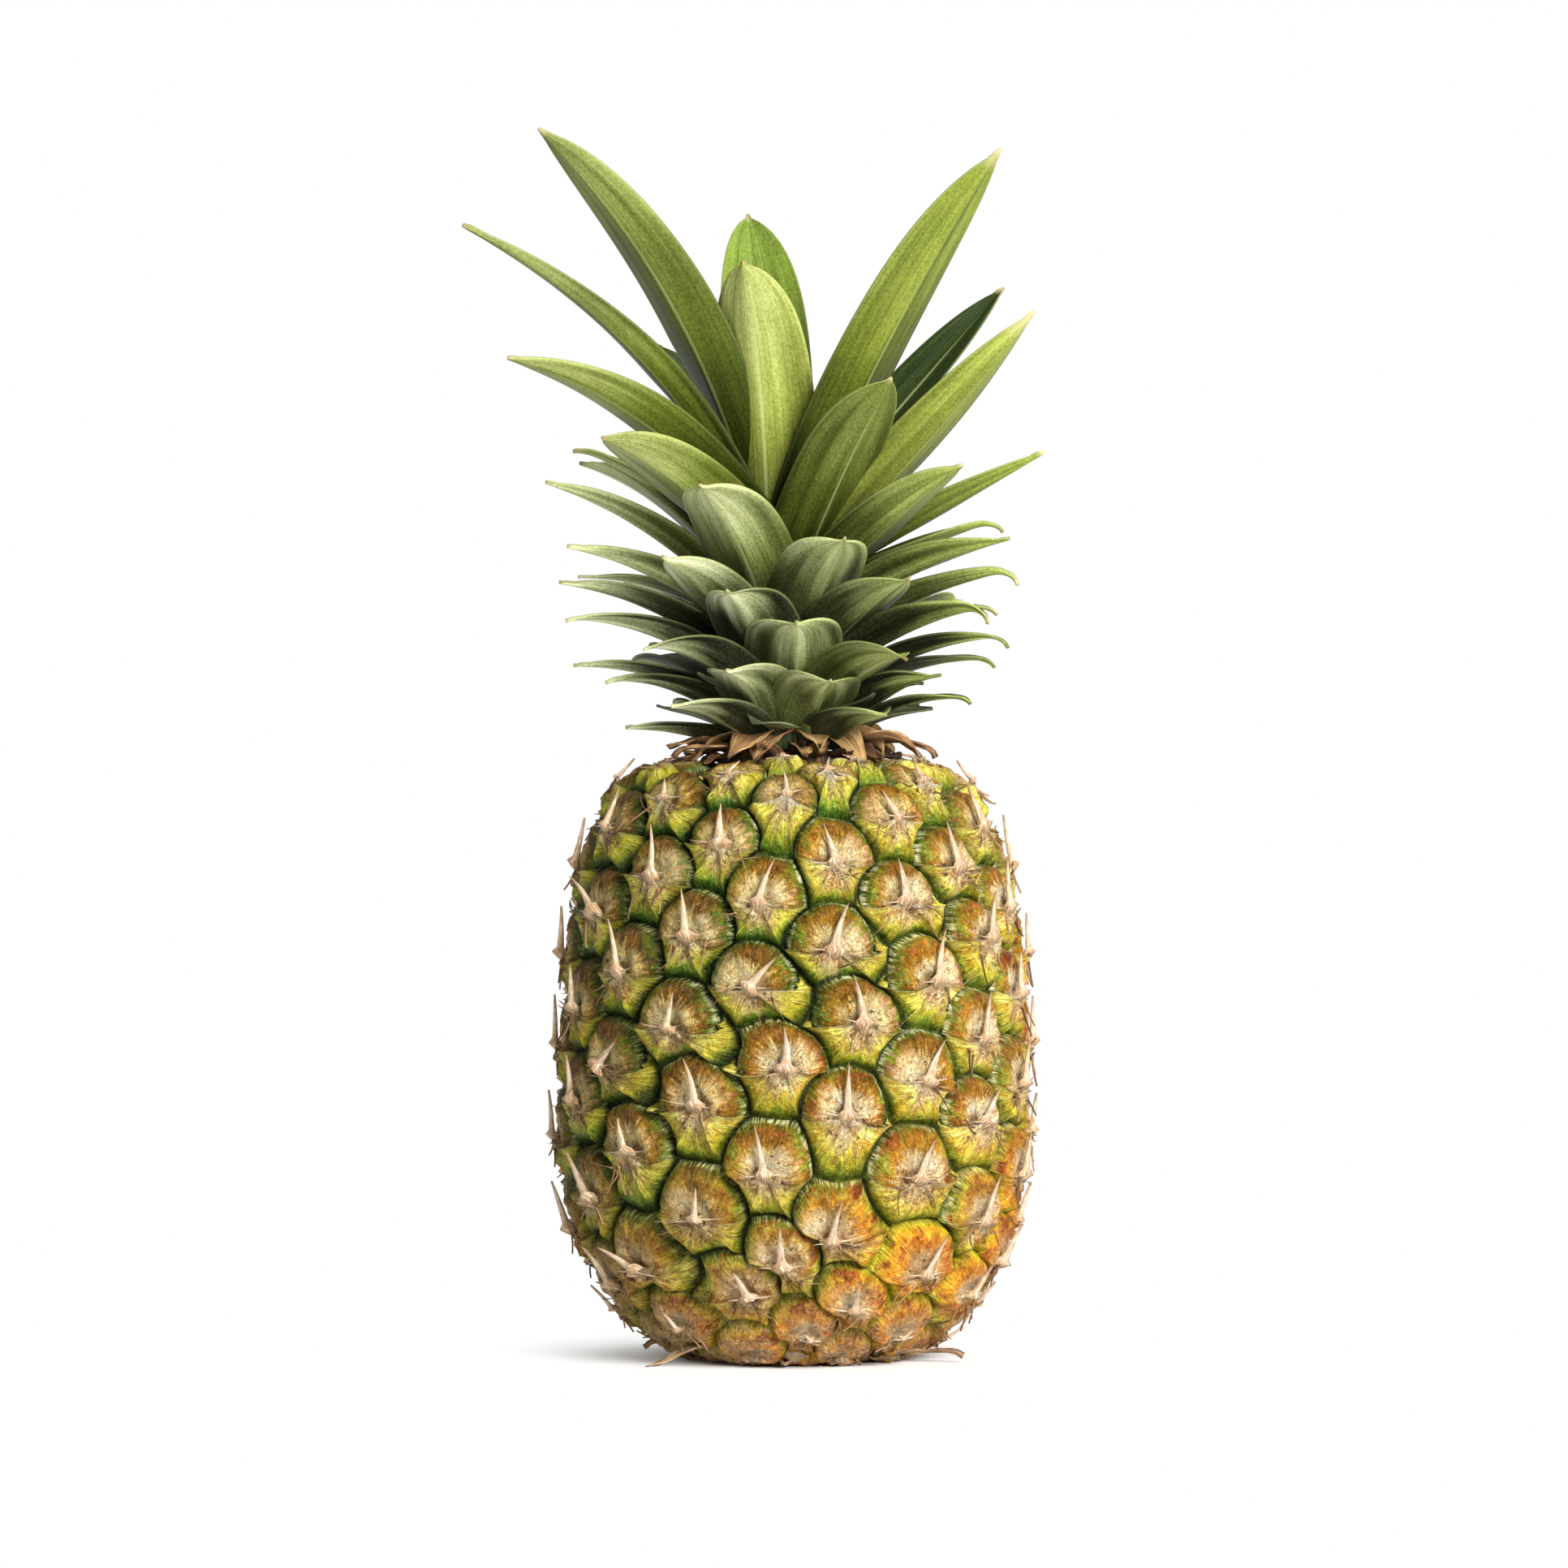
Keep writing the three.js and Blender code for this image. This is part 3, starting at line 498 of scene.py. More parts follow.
def eyePatch(eye, rim, rimPoints, rays, rings):  # one eye's points within its rim, and what its material reads
    i, j, turn, s = eye
    shape = eyeShape
    seed = i * 31 + j * 7
    ray = np.arange(rays)
    q = 1 - (1 - np.arange(1, rings + 1) / rings) ** shape["ringPower"]
    index = np.array([r[0] for r in rim])
    rimTurn, rimS = np.array([r[1] for r in rim]), rimPoints[index, 1]
    reach = float(onOutline(s)[0])
    rimX, rimY = np.radians(rimTurn - turn) * reach, rimS - s
    # angle from the right wing tip over the top to the left one and back underneath, by rays
    angle = np.concatenate([np.interp(ray[:rays // 2 + 1], [0, rays // 2], [0, np.pi]),
                            np.interp(ray[rays // 2 + 1:], [rays // 2, rays], [np.pi, 2 * np.pi])])
    share, turned = q[:, None] * np.ones(rays), np.ones(rings)[:, None] * angle
    x, y = q[:, None] * rimX, q[:, None] * rimY
    domeRise = shape["domeRise"] * min(1, reach / 50)
    rimAway = np.hypot(rimX, rimY - domeRise)
    domeRadius = np.percentile(rimAway[2:rays // 2 - 1], 55)
    swell = 1 + shape["fill"] * np.maximum(0, rimAway / domeRadius - 1) * smooth(0.15, 0.5, np.sin(angle))
    rho = np.maximum(np.hypot(x, y - domeRise) / domeRadius / swell, share ** 1.7)
    rimHeight = rimPoints[index, 2] / float(reliefScale(s))
    offEdge = np.minimum(np.minimum(turned, np.abs(turned - np.pi)), 2 * np.pi - turned)
    hang = np.where(x > 0, pick(*shape["hang"], seed + 51), pick(*shape["hang"], seed + 53))
    sag = shape["sag"] * hang * np.sin(np.pi * share) * np.exp(-(offEdge / shape["hangWidth"]) ** 2)
    placeS = s + y - sag * (reach / shape["fullReach"])
    placeTurn = turn + np.degrees(x / reach)
    height = eyeRelief(share, turned, rho, rimHeight, x, y, placeS, seed)
    xyz = onFruit(placeTurn[:-1].ravel(), placeS[:-1].ravel(), height[:-1].ravel())
    ripe, dark = eyeFields(placeTurn, placeS, seed)
    edge = np.sin(turned) * share * 12 * reach / shape["fullReach"]  # mm over the bract's upper edge
    middles = {"t": 0.75, "ripe": ripe.flat[0], "dark": dark.flat[0]}
    fields = {"x": x, "y": y, "q": share, "t": turned / (2 * np.pi), "rho": rho, "edge": edge,
              "arm": armShare(rho, np.sin(turned)), "ripe": ripe, "dark": dark}
    local = {key: np.concatenate([[middles.get(key, 0)], grid.ravel()]) for key, grid in fields.items()}
    local["chance"] = np.full(1 + share.size, float(noise(seed + 23)))
    return np.vstack([onFruit(turn, s, rootHeight(s, seed)), xyz]), index, local


def closeRims(points, faceLists):  # the open rims under the base and under the crown get a fan each
    edges = {}
    for f in faceLists:
        sides = f.shape[1]
        for k in range(sides):
            for a, b in zip(f[:, k].tolist(), f[:, (k + 1) % sides].tolist()):
                edges[(a, b)] = True
    openEdges = [(a, b) for a, b in edges if (b, a) not in edges]
    below, above = len(points), len(points) + 1
    baseDepth, topDepth = eyeShape["capDepths"]
    points = np.vstack([points, [[0, 0, -baseDepth], [0, 0, fruitShape["shoulder"] - topDepth]]])
    caps = [(b, a, below if points[a][2] < fruitShape["waist"] else above) for a, b in openEdges]
    return points, np.array(caps)


def makeFruit(material):
    rays, rings = 6 * eyeShape["raysPerEdge"], eyeShape["rings"]
    eyes = allEyes()
    rimPoints, allRims = eyeRims(eyes)
    rimXyz = onFruit(rimPoints[:, 0], rimPoints[:, 1], rimPoints[:, 2])

    # on every eye a fan round the middle point, then quads out to the rim
    ray = np.arange(rays)
    after = (ray + 1) % rays
    triangles = np.stack([np.zeros(rays, int), 1 + ray, 1 + after], -1)
    quads = np.concatenate([1 + m * rays + np.stack([ray, rays + ray, rays + after, after], -1)
                            for m in range(rings - 1)])
    triangleIds, quadIds, triangleLocal, quadLocal, inner = [], [], [], [], []
    base = len(rimXyz)
    for eye, rim in zip(eyes, allRims):
        patch, index, local = eyePatch(eye, rim, rimPoints, rays, rings)
        ids = np.concatenate([np.arange(base, base + len(patch)), index])
        base += len(patch)
        inner.append(patch)
        triangleIds.append(ids[triangles])
        quadIds.append(ids[quads])
        triangleLocal.append({k: v[triangles] for k, v in local.items()})
        quadLocal.append({k: v[quads] for k, v in local.items()})
        # the ray that closes the round has its place counted on, not back to the start
        triangleLocal[-1]["t"][-1, 2] = 1.0
        quadLocal[-1]["t"][rays - 1::rays, 2:] = 1.0
    triangleFaces, quadFaces = np.concatenate(triangleIds), np.concatenate(quadIds)
    points, caps = closeRims(np.vstack([rimXyz] + inner), (triangleFaces, quadFaces))

    reachOut = np.hypot(points[:, 0], points[:, 1])
    low = points[:, 2] < 0.01
    depth, outer, innermost = eyeShape["stalkHollow"]
    points[low, 2] = depth * smooth(outer, innermost, reachOut[low]) + 0.0

    def gather(key):
        parts = [part[key].ravel() for part in triangleLocal + quadLocal]
        return np.concatenate(parts + [np.full(caps.size, 0.9 if key in ("q", "rho") else 0.5)])
    width = eyeShape["mapWidth"]
    maps = {"eyePlace": np.stack([gather("x") / width + 0.5, gather("y") / width + 0.5], -1),
            "eyeRim": np.stack([gather("q"), gather("t")], -1)}
    values = {key: gather(key) for key in ("rho", "edge", "arm", "ripe", "dark", "chance")}
    fruit = meshPiece("fruit_rind", points, [triangleFaces, quadFaces, caps], material, maps, values)
    print("fruit:", len(eyes), "eyes,", len(triangleFaces) + 2 * len(quadFaces) + len(caps), "triangles")
    return fruit, eyes


rindLook = {
    # the last stops of the dome and skirt ramps, near black green at the groove, are partly the groove's own
    # dark green and partly painted shade in it
    "domeGreen": [(0.0, "#f4dea0"), (0.26, "#eccc66"), (0.46, "#bc8c1e"), (0.66, "#7e5e14"), (0.80, "#60601a"),
                  (0.88, "#5c7420"), (0.945, "#2e420e"), (0.99, "#16220a")],
    "domeRipe": [(0.0, "#fde4b0"), (0.26, "#fdd87c"), (0.46, "#eda52a"), (0.66, "#cc7e14"), (0.80, "#9c781c"),
                 (0.88, "#8a7e20"), (0.945, "#626414"), (0.99, "#3a430e")],
    "skirtGreen": [(0.0, "#f4dec4"), (0.36, "#e6cea4"), (0.54, "#dccc62"), (0.68, "#c8c038"), (0.79, "#8e9824"),
                   (0.875, "#4c6618"), (0.95, "#24380c"), (1.0, "#141f08")],
    "skirtRipe": [(0.0, "#fbe2c0"), (0.36, "#f4d098"), (0.57, "#efc05c"), (0.71, "#e4b432"), (0.82, "#c4a420"),
                  (0.90, "#8f8618"), (0.955, "#565c12"), (1.0, "#3a420e")],
    "lowest": [(0.0, "#dcae76"), (0.40, "#cda060"), (0.64, "#ba963e"), (0.80, "#b0a438"), (0.91, "#6e7c24"),
               (1.0, "#2c3810")],
    "gold": [(0.0, "#f8e2be"), (0.36, "#f2c688"), (0.52, "#e89a3c"), (0.68, "#dc841c"), (0.85, "#d89a1a"),
             (0.94, "#c8b41c"), (1.0, "#a09a20")],
    "cream": ("#fae6b4", "#ffecc8"),
    "flare": ("#e2c090", "#fad8a8"),
    "teeth": ("#d5dcab", "#f2dc9c"),
    # the wing's own yellow-green, with a painted highlight along its raised upper edge
    "wing": ("#e6d856", "#fbdc74"),
    "rib": ("#dcd650", "#f4d45c"),
    "tongue": ("#4b7a1c", "#93981c"),
    "withered": "#8c5a38",
    "whisker": "#f4e6c8",
    "speck": "#4a2a12",
    "fan": "#643c12",
    # painted shadow in the dip over the bract's edge
    "seamShadow": "#54300e",
    "blush": "#74260f",
    "hollow": "#8a5218",
    # the tint of the painted shade, multiplied in by each eye's dark value
    "shade": "#8e9048",
    "scurf": "#f4ecc8",
    "earth": [(0.35, "#6d4527"), (0.65, "#cfae80")],
    # scale, detail and roughness of the noises that lie in the object
    "noises": {"cloud": (110.0, 4.0, 0.6), "grain": (420.0, 4.0, 0.62), "fine": (1300.0, 3.0, 0.65),
               "bruise": (210.0, 2.0), "speck": (800.0, 2.0, 0.5)},
    # turns and lengths of the noises that run along an eye's rays, with their own numbers
    "rays": {"streak": (70.0, 2.6, 4.0, 0.62, 0.6), "thread": (150.0, 5.0, 2.0, 0.6)},
    # where each marking shows between the middle and the rim; over is by share of a turn, and lies over the root
    "masks": {
        "over": [(0.14, 0.0), (0.22, 1.0), (0.28, 1.0), (0.36, 0.0)],
        "fan": [(0.25, 0.0), (0.45, 1.0), (0.80, 0.8), (0.95, 0.2)],
        "teeth": [(0.85, 0.0), (0.91, 1.0), (0.955, 1.0), (0.985, 0.0)],
        "wing": [(0.25, 0.0), (0.48, 1.0), (0.90, 1.0), (0.97, 0.0)],
        "rib": [(0.2, 0.0), (0.45, 1.0), (0.92, 0.0)],
        "tongue": [(0.4, 0.0), (0.7, 1.0)],
        "bruise": [(0.50, 0.0), (0.70, 1.0), (0.88, 1.0), (0.96, 0.0)],
    },
    "strength": {"hollow": 0.65, "rib": 0.8, "whisker": 0.9, "gold": 0.85, "speck": 0.7, "earth": 0.85},
    # share, then the dark and the light end of each mottling
    "mottles": {"fine": (0.4, (0.35, 0.1), (0.65, 0.9)), "grain": (0.85, (0.3, 0.08), (0.7, 0.92)),
                "cloud": (0.6, (0.35, 0.2), (0.65, 0.8))},
    "relief": (0.9, 0.0011),    # strength and height in metres
    "specular": 0.18,
    "roughness": (0.26, 0.5),
}


def makeRindMaterial():
    look = rindLook
    masks, strength = look["masks"], look["strength"]
    m = Shading("rind")

    def byRipeness(key):
        return m.mix(ripe, *look[key])

    def alongRays(key):
        turns, lengths, *rest = look["rays"][key]
        return m.noise(m.vector(m.times(t, turns), m.times(q, lengths), chance), 1.0, *rest)

    x, y = (m.times(m.minus(c, 0.5), float(eyeShape["mapWidth"])) for c in m.map("eyePlace"))
    q, t = m.map("eyeRim")
    rho, edge, arm = (m.attribute(k) for k in ("rho", "edge", "arm"))
    ripe, dark, chance = (m.attribute(k) for k in ("ripe", "dark", "chance"))
    place = m.objectPlace()
    z = m.node("SeparateXYZ", {0: place}).outputs[2]
    cloud, grain, fine, bruised, speckled = (m.noise(place, *n) for n in look["noises"].values())
    streak, thread = alongRays("streak"), alongRays("thread")
    wander = m.plus(m.swing(cloud, 0.6), m.swing(streak, 1.5))
    over = m.ramp(t, masks["over"])

    # the dome: golden round a cream middle, brown lines fan out over the root, pale teeth comb the rim
    domeShare = m.plus(rho, m.times(wander, m.range(rho, 1.0, 0.6, 0.07, 1.0)), clamp=True)
    dome = m.mix(ripe, m.ramp(domeShare, look["domeGreen"]), m.ramp(domeShare, look["domeRipe"]))
    fan = m.times(m.times(over, m.range(streak, 0.36, 0.60, 0.25, 1.0)), m.ramp(rho, masks["fan"]))
    # the brown fan is the dome's own marking, laid on more strongly where the eye's painted shade is deeper
    dome = m.mix(m.times(fan, m.range(dark, 0.1, 0.55, 0.72, 1.0)), dome, look["fan"])
    side = m.minus(chance, 0.5)
    # mm from a place beside the root, frayed, so that the cream patch is ragged
    nearRoot = m.away(m.minus(x, m.times(side, 4.0)), m.times(m.minus(y, 2.4), 1.25))
    nearRoot = m.plus(m.plus(nearRoot, m.times(wander, 9.0)), m.times(over, 2.2))
    cream = m.times(m.range(nearRoot, 8.2, 4.0), m.range(z, 0.150, 0.120, 0.35, 0.94))
    cream = m.times(cream, m.range(ripe, 0.25, 0.6, 0.72, 1.0))
    dome = m.mix(cream, dome, byRipeness("cream"))
    teeth = m.times(m.ramp(rho, masks["teeth"]), m.range(thread, 0.44, 0.56))
    dome = m.mix(m.times(teeth, m.range(cloud, 0.38, 0.6, 0.15, 0.95)), dome, byRipeness("teeth"))
    # a brown hollow on one side of the root
    hollow = m.away(m.plus(x, m.times(side, 9.0)), m.times(m.minus(y, 1.3), 1.6))
    hollow = m.range(m.plus(hollow, m.times(wander, 4.0)), 3.0, 1.2)
    dome = m.mix(m.times(hollow, strength["hollow"]), dome, look["hollow"])
    # painted shadow in the dip over the bract's edge, deepest beside the root
    seamShadow = m.times(m.range(edge, 1.9, 0.2), m.range(q, 0.62, 0.12))
    dome = m.mix(m.times(seamShadow, m.range(streak, 0.35, 0.6, 0.3, 0.9)), dome, look["seamShadow"])

    # the bract: cream and withered at the root, yellow-green wings and ribs, a greener tongue between them
    skirtShare = m.plus(q, m.times(wander, m.range(q, 1.0, 0.7, 0.05, 0.8)), clamp=True)
    skirt = m.mix(ripe, m.ramp(skirtShare, look["skirtGreen"]), m.ramp(skirtShare, look["skirtRipe"]))
    # the pale yellow along the bract's raised upper edge is partly the wing's own yellow-green and partly a
    # painted highlight
    wing = m.times(m.ramp(q, masks["wing"]), m.range(edge, -6.0, -2.2))
    skirt = m.mix(m.times(wing, m.range(cloud, 0.35, 0.6, 0.6, 1.0)), skirt, byRipeness("wing"))
    under = m.apart(t, 0.75)  # share of a turn from straight below the root
    rib = m.times(m.range(m.apart(under, 0.083), 0.04, 0.005), m.ramp(q, masks["rib"]))
    skirt = m.mix(m.times(rib, strength["rib"]), skirt, byRipeness("rib"))
    tongue = m.times(m.range(under, 0.075, 0.05), m.ramp(q, masks["tongue"]))
    skirt = m.mix(m.times(tongue, m.range(ripe, 0.3, 0.8, 0.36, 0.15)), skirt, byRipeness("tongue"))
    scrawl = m.noise(m.vector(m.times(x, 0.5), m.times(y, 0.3), m.times(chance, 20.0)), 1.0, 4.0, 0.7, 2.2)
    scrawl = m.range(m.apart(scrawl, 0.5), 0.045, 0.012)
    withered = m.math("MAXIMUM", m.times(m.range(grain, 0.55, 0.63), 0.6), scrawl)
    withered = m.times(withered, m.range(skirtShare, 0.75, 0.3))
    skirt = m.mix(m.times(withered, m.range(chance, 0.2, 0.7, 0.3, 0.75)), skirt, look["withered"])
    whisker = m.times(m.range(m.math("ABSOLUTE", m.plus(edge, 0.5)), 0.8, 0.2),
                      m.range(m.plus(q, m.times(wander, 0.7)), 0.85, 0.4))
    skirt = m.mix(m.times(whisker, strength["whisker"]), skirt, look["whisker"])
    flare = m.plus(m.away(x, m.times(y, 0.72)), m.times(wander, 7.0))
    flare = m.times(m.range(flare, 5.9, 2.2), m.range(scrawl, 0.0, 1.0, 0.9, 0.3))
    flare = m.times(flare, m.range(z, 0.150, 0.118, 0.25, 1.0))
    skirt = m.mix(flare, skirt, byRipeness("flare"))

    ragged = m.plus(edge, m.swing(streak, 2.2))
    isBract = m.math("MAXIMUM", m.range(ragged, 0.12, -0.02), m.range(arm, 0.25, 0.6))
    rind = m.mix(isBract, dome, skirt)
    # the lowest eyes have ripened most, and the ripest anywhere are gold all over
    outward = m.math("MAXIMUM", m.times(rho, 0.85), q)
    rind = m.mix(m.range(z, 0.060, 0.024, 0.0, 0.62), rind, m.ramp(outward, look["lowest"]))
    gilded = m.range(m.plus(ripe, m.swing(cloud, 0.5)), 0.72, 1.02)
    rind = m.mix(m.times(gilded, strength["gold"]), rind, m.ramp(outward, look["gold"]))
    # red-brown bruises near the domes' rims, over the gold
    bruise = m.times(m.range(bruised, 0.53, 0.61), m.ramp(rho, masks["bruise"]))
    bruise = m.times(bruise, m.minus(1.0, isBract))
    rind = m.mix(m.times(bruise, m.range(ripe, 0.25, 0.7, 0.3, 0.85)), rind, look["blush"])

    # streaks, mottling, white scurf, brown specks, earth at the base, and painted shade, deepest in the grooves
    # and on the side away from the light
    rind = m.mottle(rind, streak, m.range(isBract, 0.0, 1.0, 0.5, 0.9), (0.34, 0.03), (0.66, 0.98))
    for value, key in ((fine, "fine"), (grain, "grain"), (cloud, "cloud")):
        rind = m.mottle(rind, value, *look["mottles"][key])
    scurf = m.times(m.range(fine, 0.61, 0.67), m.range(q, 1.0, 0.7, 0.0, 0.5))
    rind = m.mix(m.times(scurf, m.range(isBract, 0.0, 1.0, 0.45, 1.0)), rind, look["scurf"])
    speck = m.times(m.range(speckled, 0.61, 0.67), m.range(q, 0.95, 0.4))
    rind = m.mix(m.times(speck, strength["speck"]), rind, look["speck"])
    earth = m.times(m.range(z, 0.020, 0.004), m.range(grain, 0.40, 0.58))
    rind = m.mix(m.times(earth, strength["earth"]), rind, m.ramp(fine, look["earth"]))
    rind = m.mix(m.times(dark, m.range(q, 0.72, 0.98, 0.5, 0.95)), rind, look["shade"], "MULTIPLY")

    height = m.plus(m.times(thread, m.range(q, 0.3, 0.85, 0.2, 1.0)), m.times(grain, 0.9))
    height = m.plus(m.plus(height, m.times(streak, 1.6)), m.times(fine, 0.25))
    height = m.minus(height, m.times(withered, 0.8))
    roughness = m.range(grain, 0.3, 0.7, *look["roughness"])
    return m.finish(rind, roughness, m.relief(height, *look["relief"]), Specular_IOR_Level=look["specular"])


rindMaterial = makeRindMaterial()
fruit, eyes = makeFruit(rindMaterial)
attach(fruit, "root")
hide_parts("fruit")

tipShape = {
    "length": 12.2,
    "width": 6.6,               # across the flare at the root
    "tail": 0.17,               # share of the length that runs down the bract from the root
    "lift": 1.3,                # how far the point stands off the dome
    "tilt": (-12, 12), "reach": (0.8, 1.08), "bend": (-3.5, 3.5), "size": (0.8, 1.1), "lifts": (0.2, 1.5),
    "rings": 12,
    "sides": 6,
    "sink": 14.0,
    "thickness": (0.3, 0.00025),  # share of the width, and metres besides
    "widthProfile": [(0.0, 0.45), (0.10, 0.85), (0.17, 1.0), (0.21, 0.60), (0.27, 0.40), (0.36, 0.33),
                     (0.55, 0.25), (0.8, 0.13), (1.0, 0.02)],
    "whisker": (0.22, 0.62),    # width and length as shares of the spike's
    "fibres": 4,
    "fibre": (0.09, 0.62),
}

tipLook = {
    "along": [(0.0, "#a08452"), (0.17, "#b08c60"), (0.26, "#c8a884"), (0.6, "#d8c2a4"), (1.0, "#8f6a44")],
    "middle": "#85705c", "dark": "#94643c", "pale": "#f0e2c8", "speck": "#6d4727",
    "fibre": ("#4f2c17", "#b08a60"),
    "roughness": (0.5, 0.75),
    "relief": (0.5, 0.0005),
}


class Growth(NodeLines):  # a Geometry Nodes tree
    family = "GeometryNode"

    def __init__(self, name, sizes):
        self.tree = bpy.data.node_groups.new(name, "GeometryNodeTree")
        self.tree.interface.new_socket("Geometry", in_out="INPUT", socket_type="NodeSocketGeometry")
        for key, value in sizes.items():
            kind = "NodeSocketInt" if isinstance(value, int) else "NodeSocketFloat"
            self.tree.interface.new_socket(key, in_out="INPUT", socket_type=kind)
        self.tree.interface.new_socket("Geometry", in_out="OUTPUT", socket_type="NodeSocketGeometry")
        self.sizes = sizes
        self.input = self.tree.nodes.new("NodeGroupInput").outputs
        self.output = self.tree.nodes.new("NodeGroupOutput").inputs

    def add(self, *vectors):
        total = vectors[0]
        for vector in vectors[1:]:
            total = self.node("ShaderNodeVectorMath", {0: total, 1: vector}, operation="ADD").outputs[0]
        return total

    def scale(self, vector, factor):
        return self.node("ShaderNodeVectorMath", {0: vector, "Scale": factor}, operation="SCALE").outputs[0]

    def named(self, name, kind="FLOAT"):
        return self.node("InputNamedAttribute", {"Name": name}, data_type=kind).outputs[0]

    def store(self, geometry, name, value, kind="FLOAT"):
        inputs = {"Geometry": geometry, "Name": name, "Value": value}
        return self.node("StoreNamedAttribute", inputs, data_type=kind, domain="POINT").outputs[0]

    def profile(self, value, stops):
        made = self.node("ShaderNodeFloatCurve", {"Value": value})
        curve = made.mapping.curves[0]
        while len(curve.points) < len(stops):
            curve.points.new(0.5, 0.5)
        for point, stop in zip(curve.points, stops):
            point.location = stop
            point.handle_type = "AUTO_CLAMPED"
        made.mapping.update()
        return made.outputs[0]

    def grow(self, carrier, name, material):  # runs the tree on a carrier and returns the plain mesh it makes
        modifier = carrier.modifiers.new("growth", "NODES")
        modifier.node_group = self.tree
        for item in self.tree.interface.items_tree:
            if item.in_out == "INPUT" and item.name in self.sizes:
                modifier[item.identifier] = self.sizes[item.name]
        carrier.update_tag()
        graph = bpy.context.evaluated_depsgraph_get()
        mesh = bpy.data.meshes.new_from_object(carrier.evaluated_get(graph), depsgraph=graph)
        carrier.modifiers.remove(modifier)
        bpy.data.objects.remove(carrier, do_unlink=True)
        mesh.name = name
        mesh.materials.clear()
        mesh.materials.append(material)
        piece = bpy.data.objects.new(name, mesh)
        scene.collection.objects.link(piece)
        return piece


def carrierOf(name, points, vectors, numbers):  # loose points that carry what a tree reads
    mesh = bpy.data.meshes.new(name)
    mesh.from_pydata([tuple(p * mm) for p in points], [], [])
    for kind, field, found in (("FLOAT_VECTOR", "vector", vectors), ("FLOAT", "value", numbers)):
        for key, rows in found.items():
            layer = mesh.attributes.new(key, kind, "POINT")
            layer.data.foreach_set(field, np.asarray(rows, float).ravel())
    carrier = bpy.data.objects.new(name, mesh)
    scene.collection.objects.link(carrier)
    return carrier


def bladeTree(name, sizes, widthProfile, material):
    # a flattened closed stalk on every point, bent by the point's own size, sway, lift and length
    g = Growth(name, sizes)
    line = g.node("CurvePrimitiveLine", {"Start": (0, 0, 0), "End": (0, 1, 0)})
    line = g.node("ResampleCurve", {"Curve": line.outputs[0], "Count": g.input["Rings"]})
    ring = g.node("CurvePrimitiveCircle", {"Resolution": g.input["Sides"], "Radius": 1.0})
    blank = g.node("CurveToMesh", {"Curve": line.outputs[0], "Profile Curve": ring.outputs[0],
                                               "Fill Caps": True})
    place = g.node("InputPosition").outputs[0]
    blank = g.store(blank.outputs[0], "blank", place, "FLOAT_VECTOR")
    spread = g.node("InstanceOnPoints", {"Points": g.input["Geometry"], "Instance": blank})
    real = g.node("RealizeInstances", {0: spread.outputs[0]}).outputs[0]
    split = g.node("ShaderNodeSeparateXYZ", {0: g.named("blank", "FLOAT_VECTOR")}).outputs
    along = g.math("MINIMUM", g.math("MAXIMUM", split[1], 0.0), 1.0)
    size, sway, lift, reach = (g.named(k) for k in ("size", "sway", "lift", "reach"))
    free = g.math("MAXIMUM", g.minus(along, g.input["Tail"]), 0.0)
    wide = g.times(g.times(g.profile(along, widthProfile), g.input["Width"]), size)
    walk = g.times(g.times(g.minus(along, g.input["Tail"]), g.input["Length"]), reach)
    square = g.times(free, free)
    right = g.plus(g.times(g.times(split[0], wide), 0.5), g.times(square, sway))
    flat, least = tipShape["thickness"]
    thick = g.times(g.plus(g.times(wide, flat), least), split[2])
    rise = g.plus(g.times(square, lift), thick)
    sink = g.times(g.math("MAXIMUM", g.minus(g.input["Tail"], along), 0.0), g.input["Sink"])
    rise = g.minus(rise, sink)
    bent = g.add(g.named("root", "FLOAT_VECTOR"), g.scale(g.named("right", "FLOAT_VECTOR"), right),
                 g.scale(g.named("up", "FLOAT_VECTOR"), walk), g.scale(g.named("out", "FLOAT_VECTOR"), rise))
    real = g.node("SetPosition", {"Geometry": real, "Position": bent}).outputs[0]
    real = g.store(real, "along", along)
    real = g.store(real, "across", split[0])
    smoothed = g.node("SetShadeSmooth", {"Geometry": real}).outputs[0]
    dressed = g.node("SetMaterial", {"Geometry": smoothed, "Material": material}).outputs[0]
    g.tree.links.new(dressed, g.output[0])
    return g


def skinFrame(turn, s):  # right, up and out on the fruit's skin
    r, z, dr, dz = onOutline(s)
    angle = np.radians(turn - 90)
    right = np.array([-math.sin(angle), math.cos(angle), 0.0])
    up = np.array([math.cos(angle) * dr, math.sin(angle) * dr, dz], float)
    return right, up, np.cross(right, up)


# spikes that lean or bend their own way, by place in the rows: tilt, share of the length, bend to the side
tipPoses = {
    (3, 4): (22, 0.7, 2), (2, 4): (-13, 0.6, -1), (2, 3): (-7, 0.85, 1), (4, 2): (-30, 0.7, 0),
    (3, 2): (-12, 0.8, -1), (2, 2): (10, 0.95, 3), (1, 2): (-4, 0.95, -1), (2, 1): (8, 1.0, 3),
    (0, 2): (-10, 1.1, -2), (1, 1): (40, 0.85, 1), (0, 1): (12, 0.75, 1), (1, 0): (-4, 1.0, -3),
    (2, 0): (0, 1.05, 3), (3, 0): (8, 0.95, 0), (0, 3): (-45, 1.2, -4), (9, -7): (48, 0.9, 2),
    (9, -8): (-2, 0.95, -3), (0, -1): (1, 1.1, 0), (1, -1): (16, 0.9, 2), (1, -2): (33, 0.8, 0),
    (8, -8): (-22, 0.7, 2), (9, -9): (-6, 1.05, -1), (0, -2): (8, 0.85, 2), (8, -9): (11, 0.7, 0),
    (9, -10): (4, 0.95, 2), (7, -10): (-14, 0.8, -1), (7, -9): (-50, 0.95, -2), (7, -11): (-20, 0.65, -2),
    (7, -8): (-27, 1.05, 1),
}


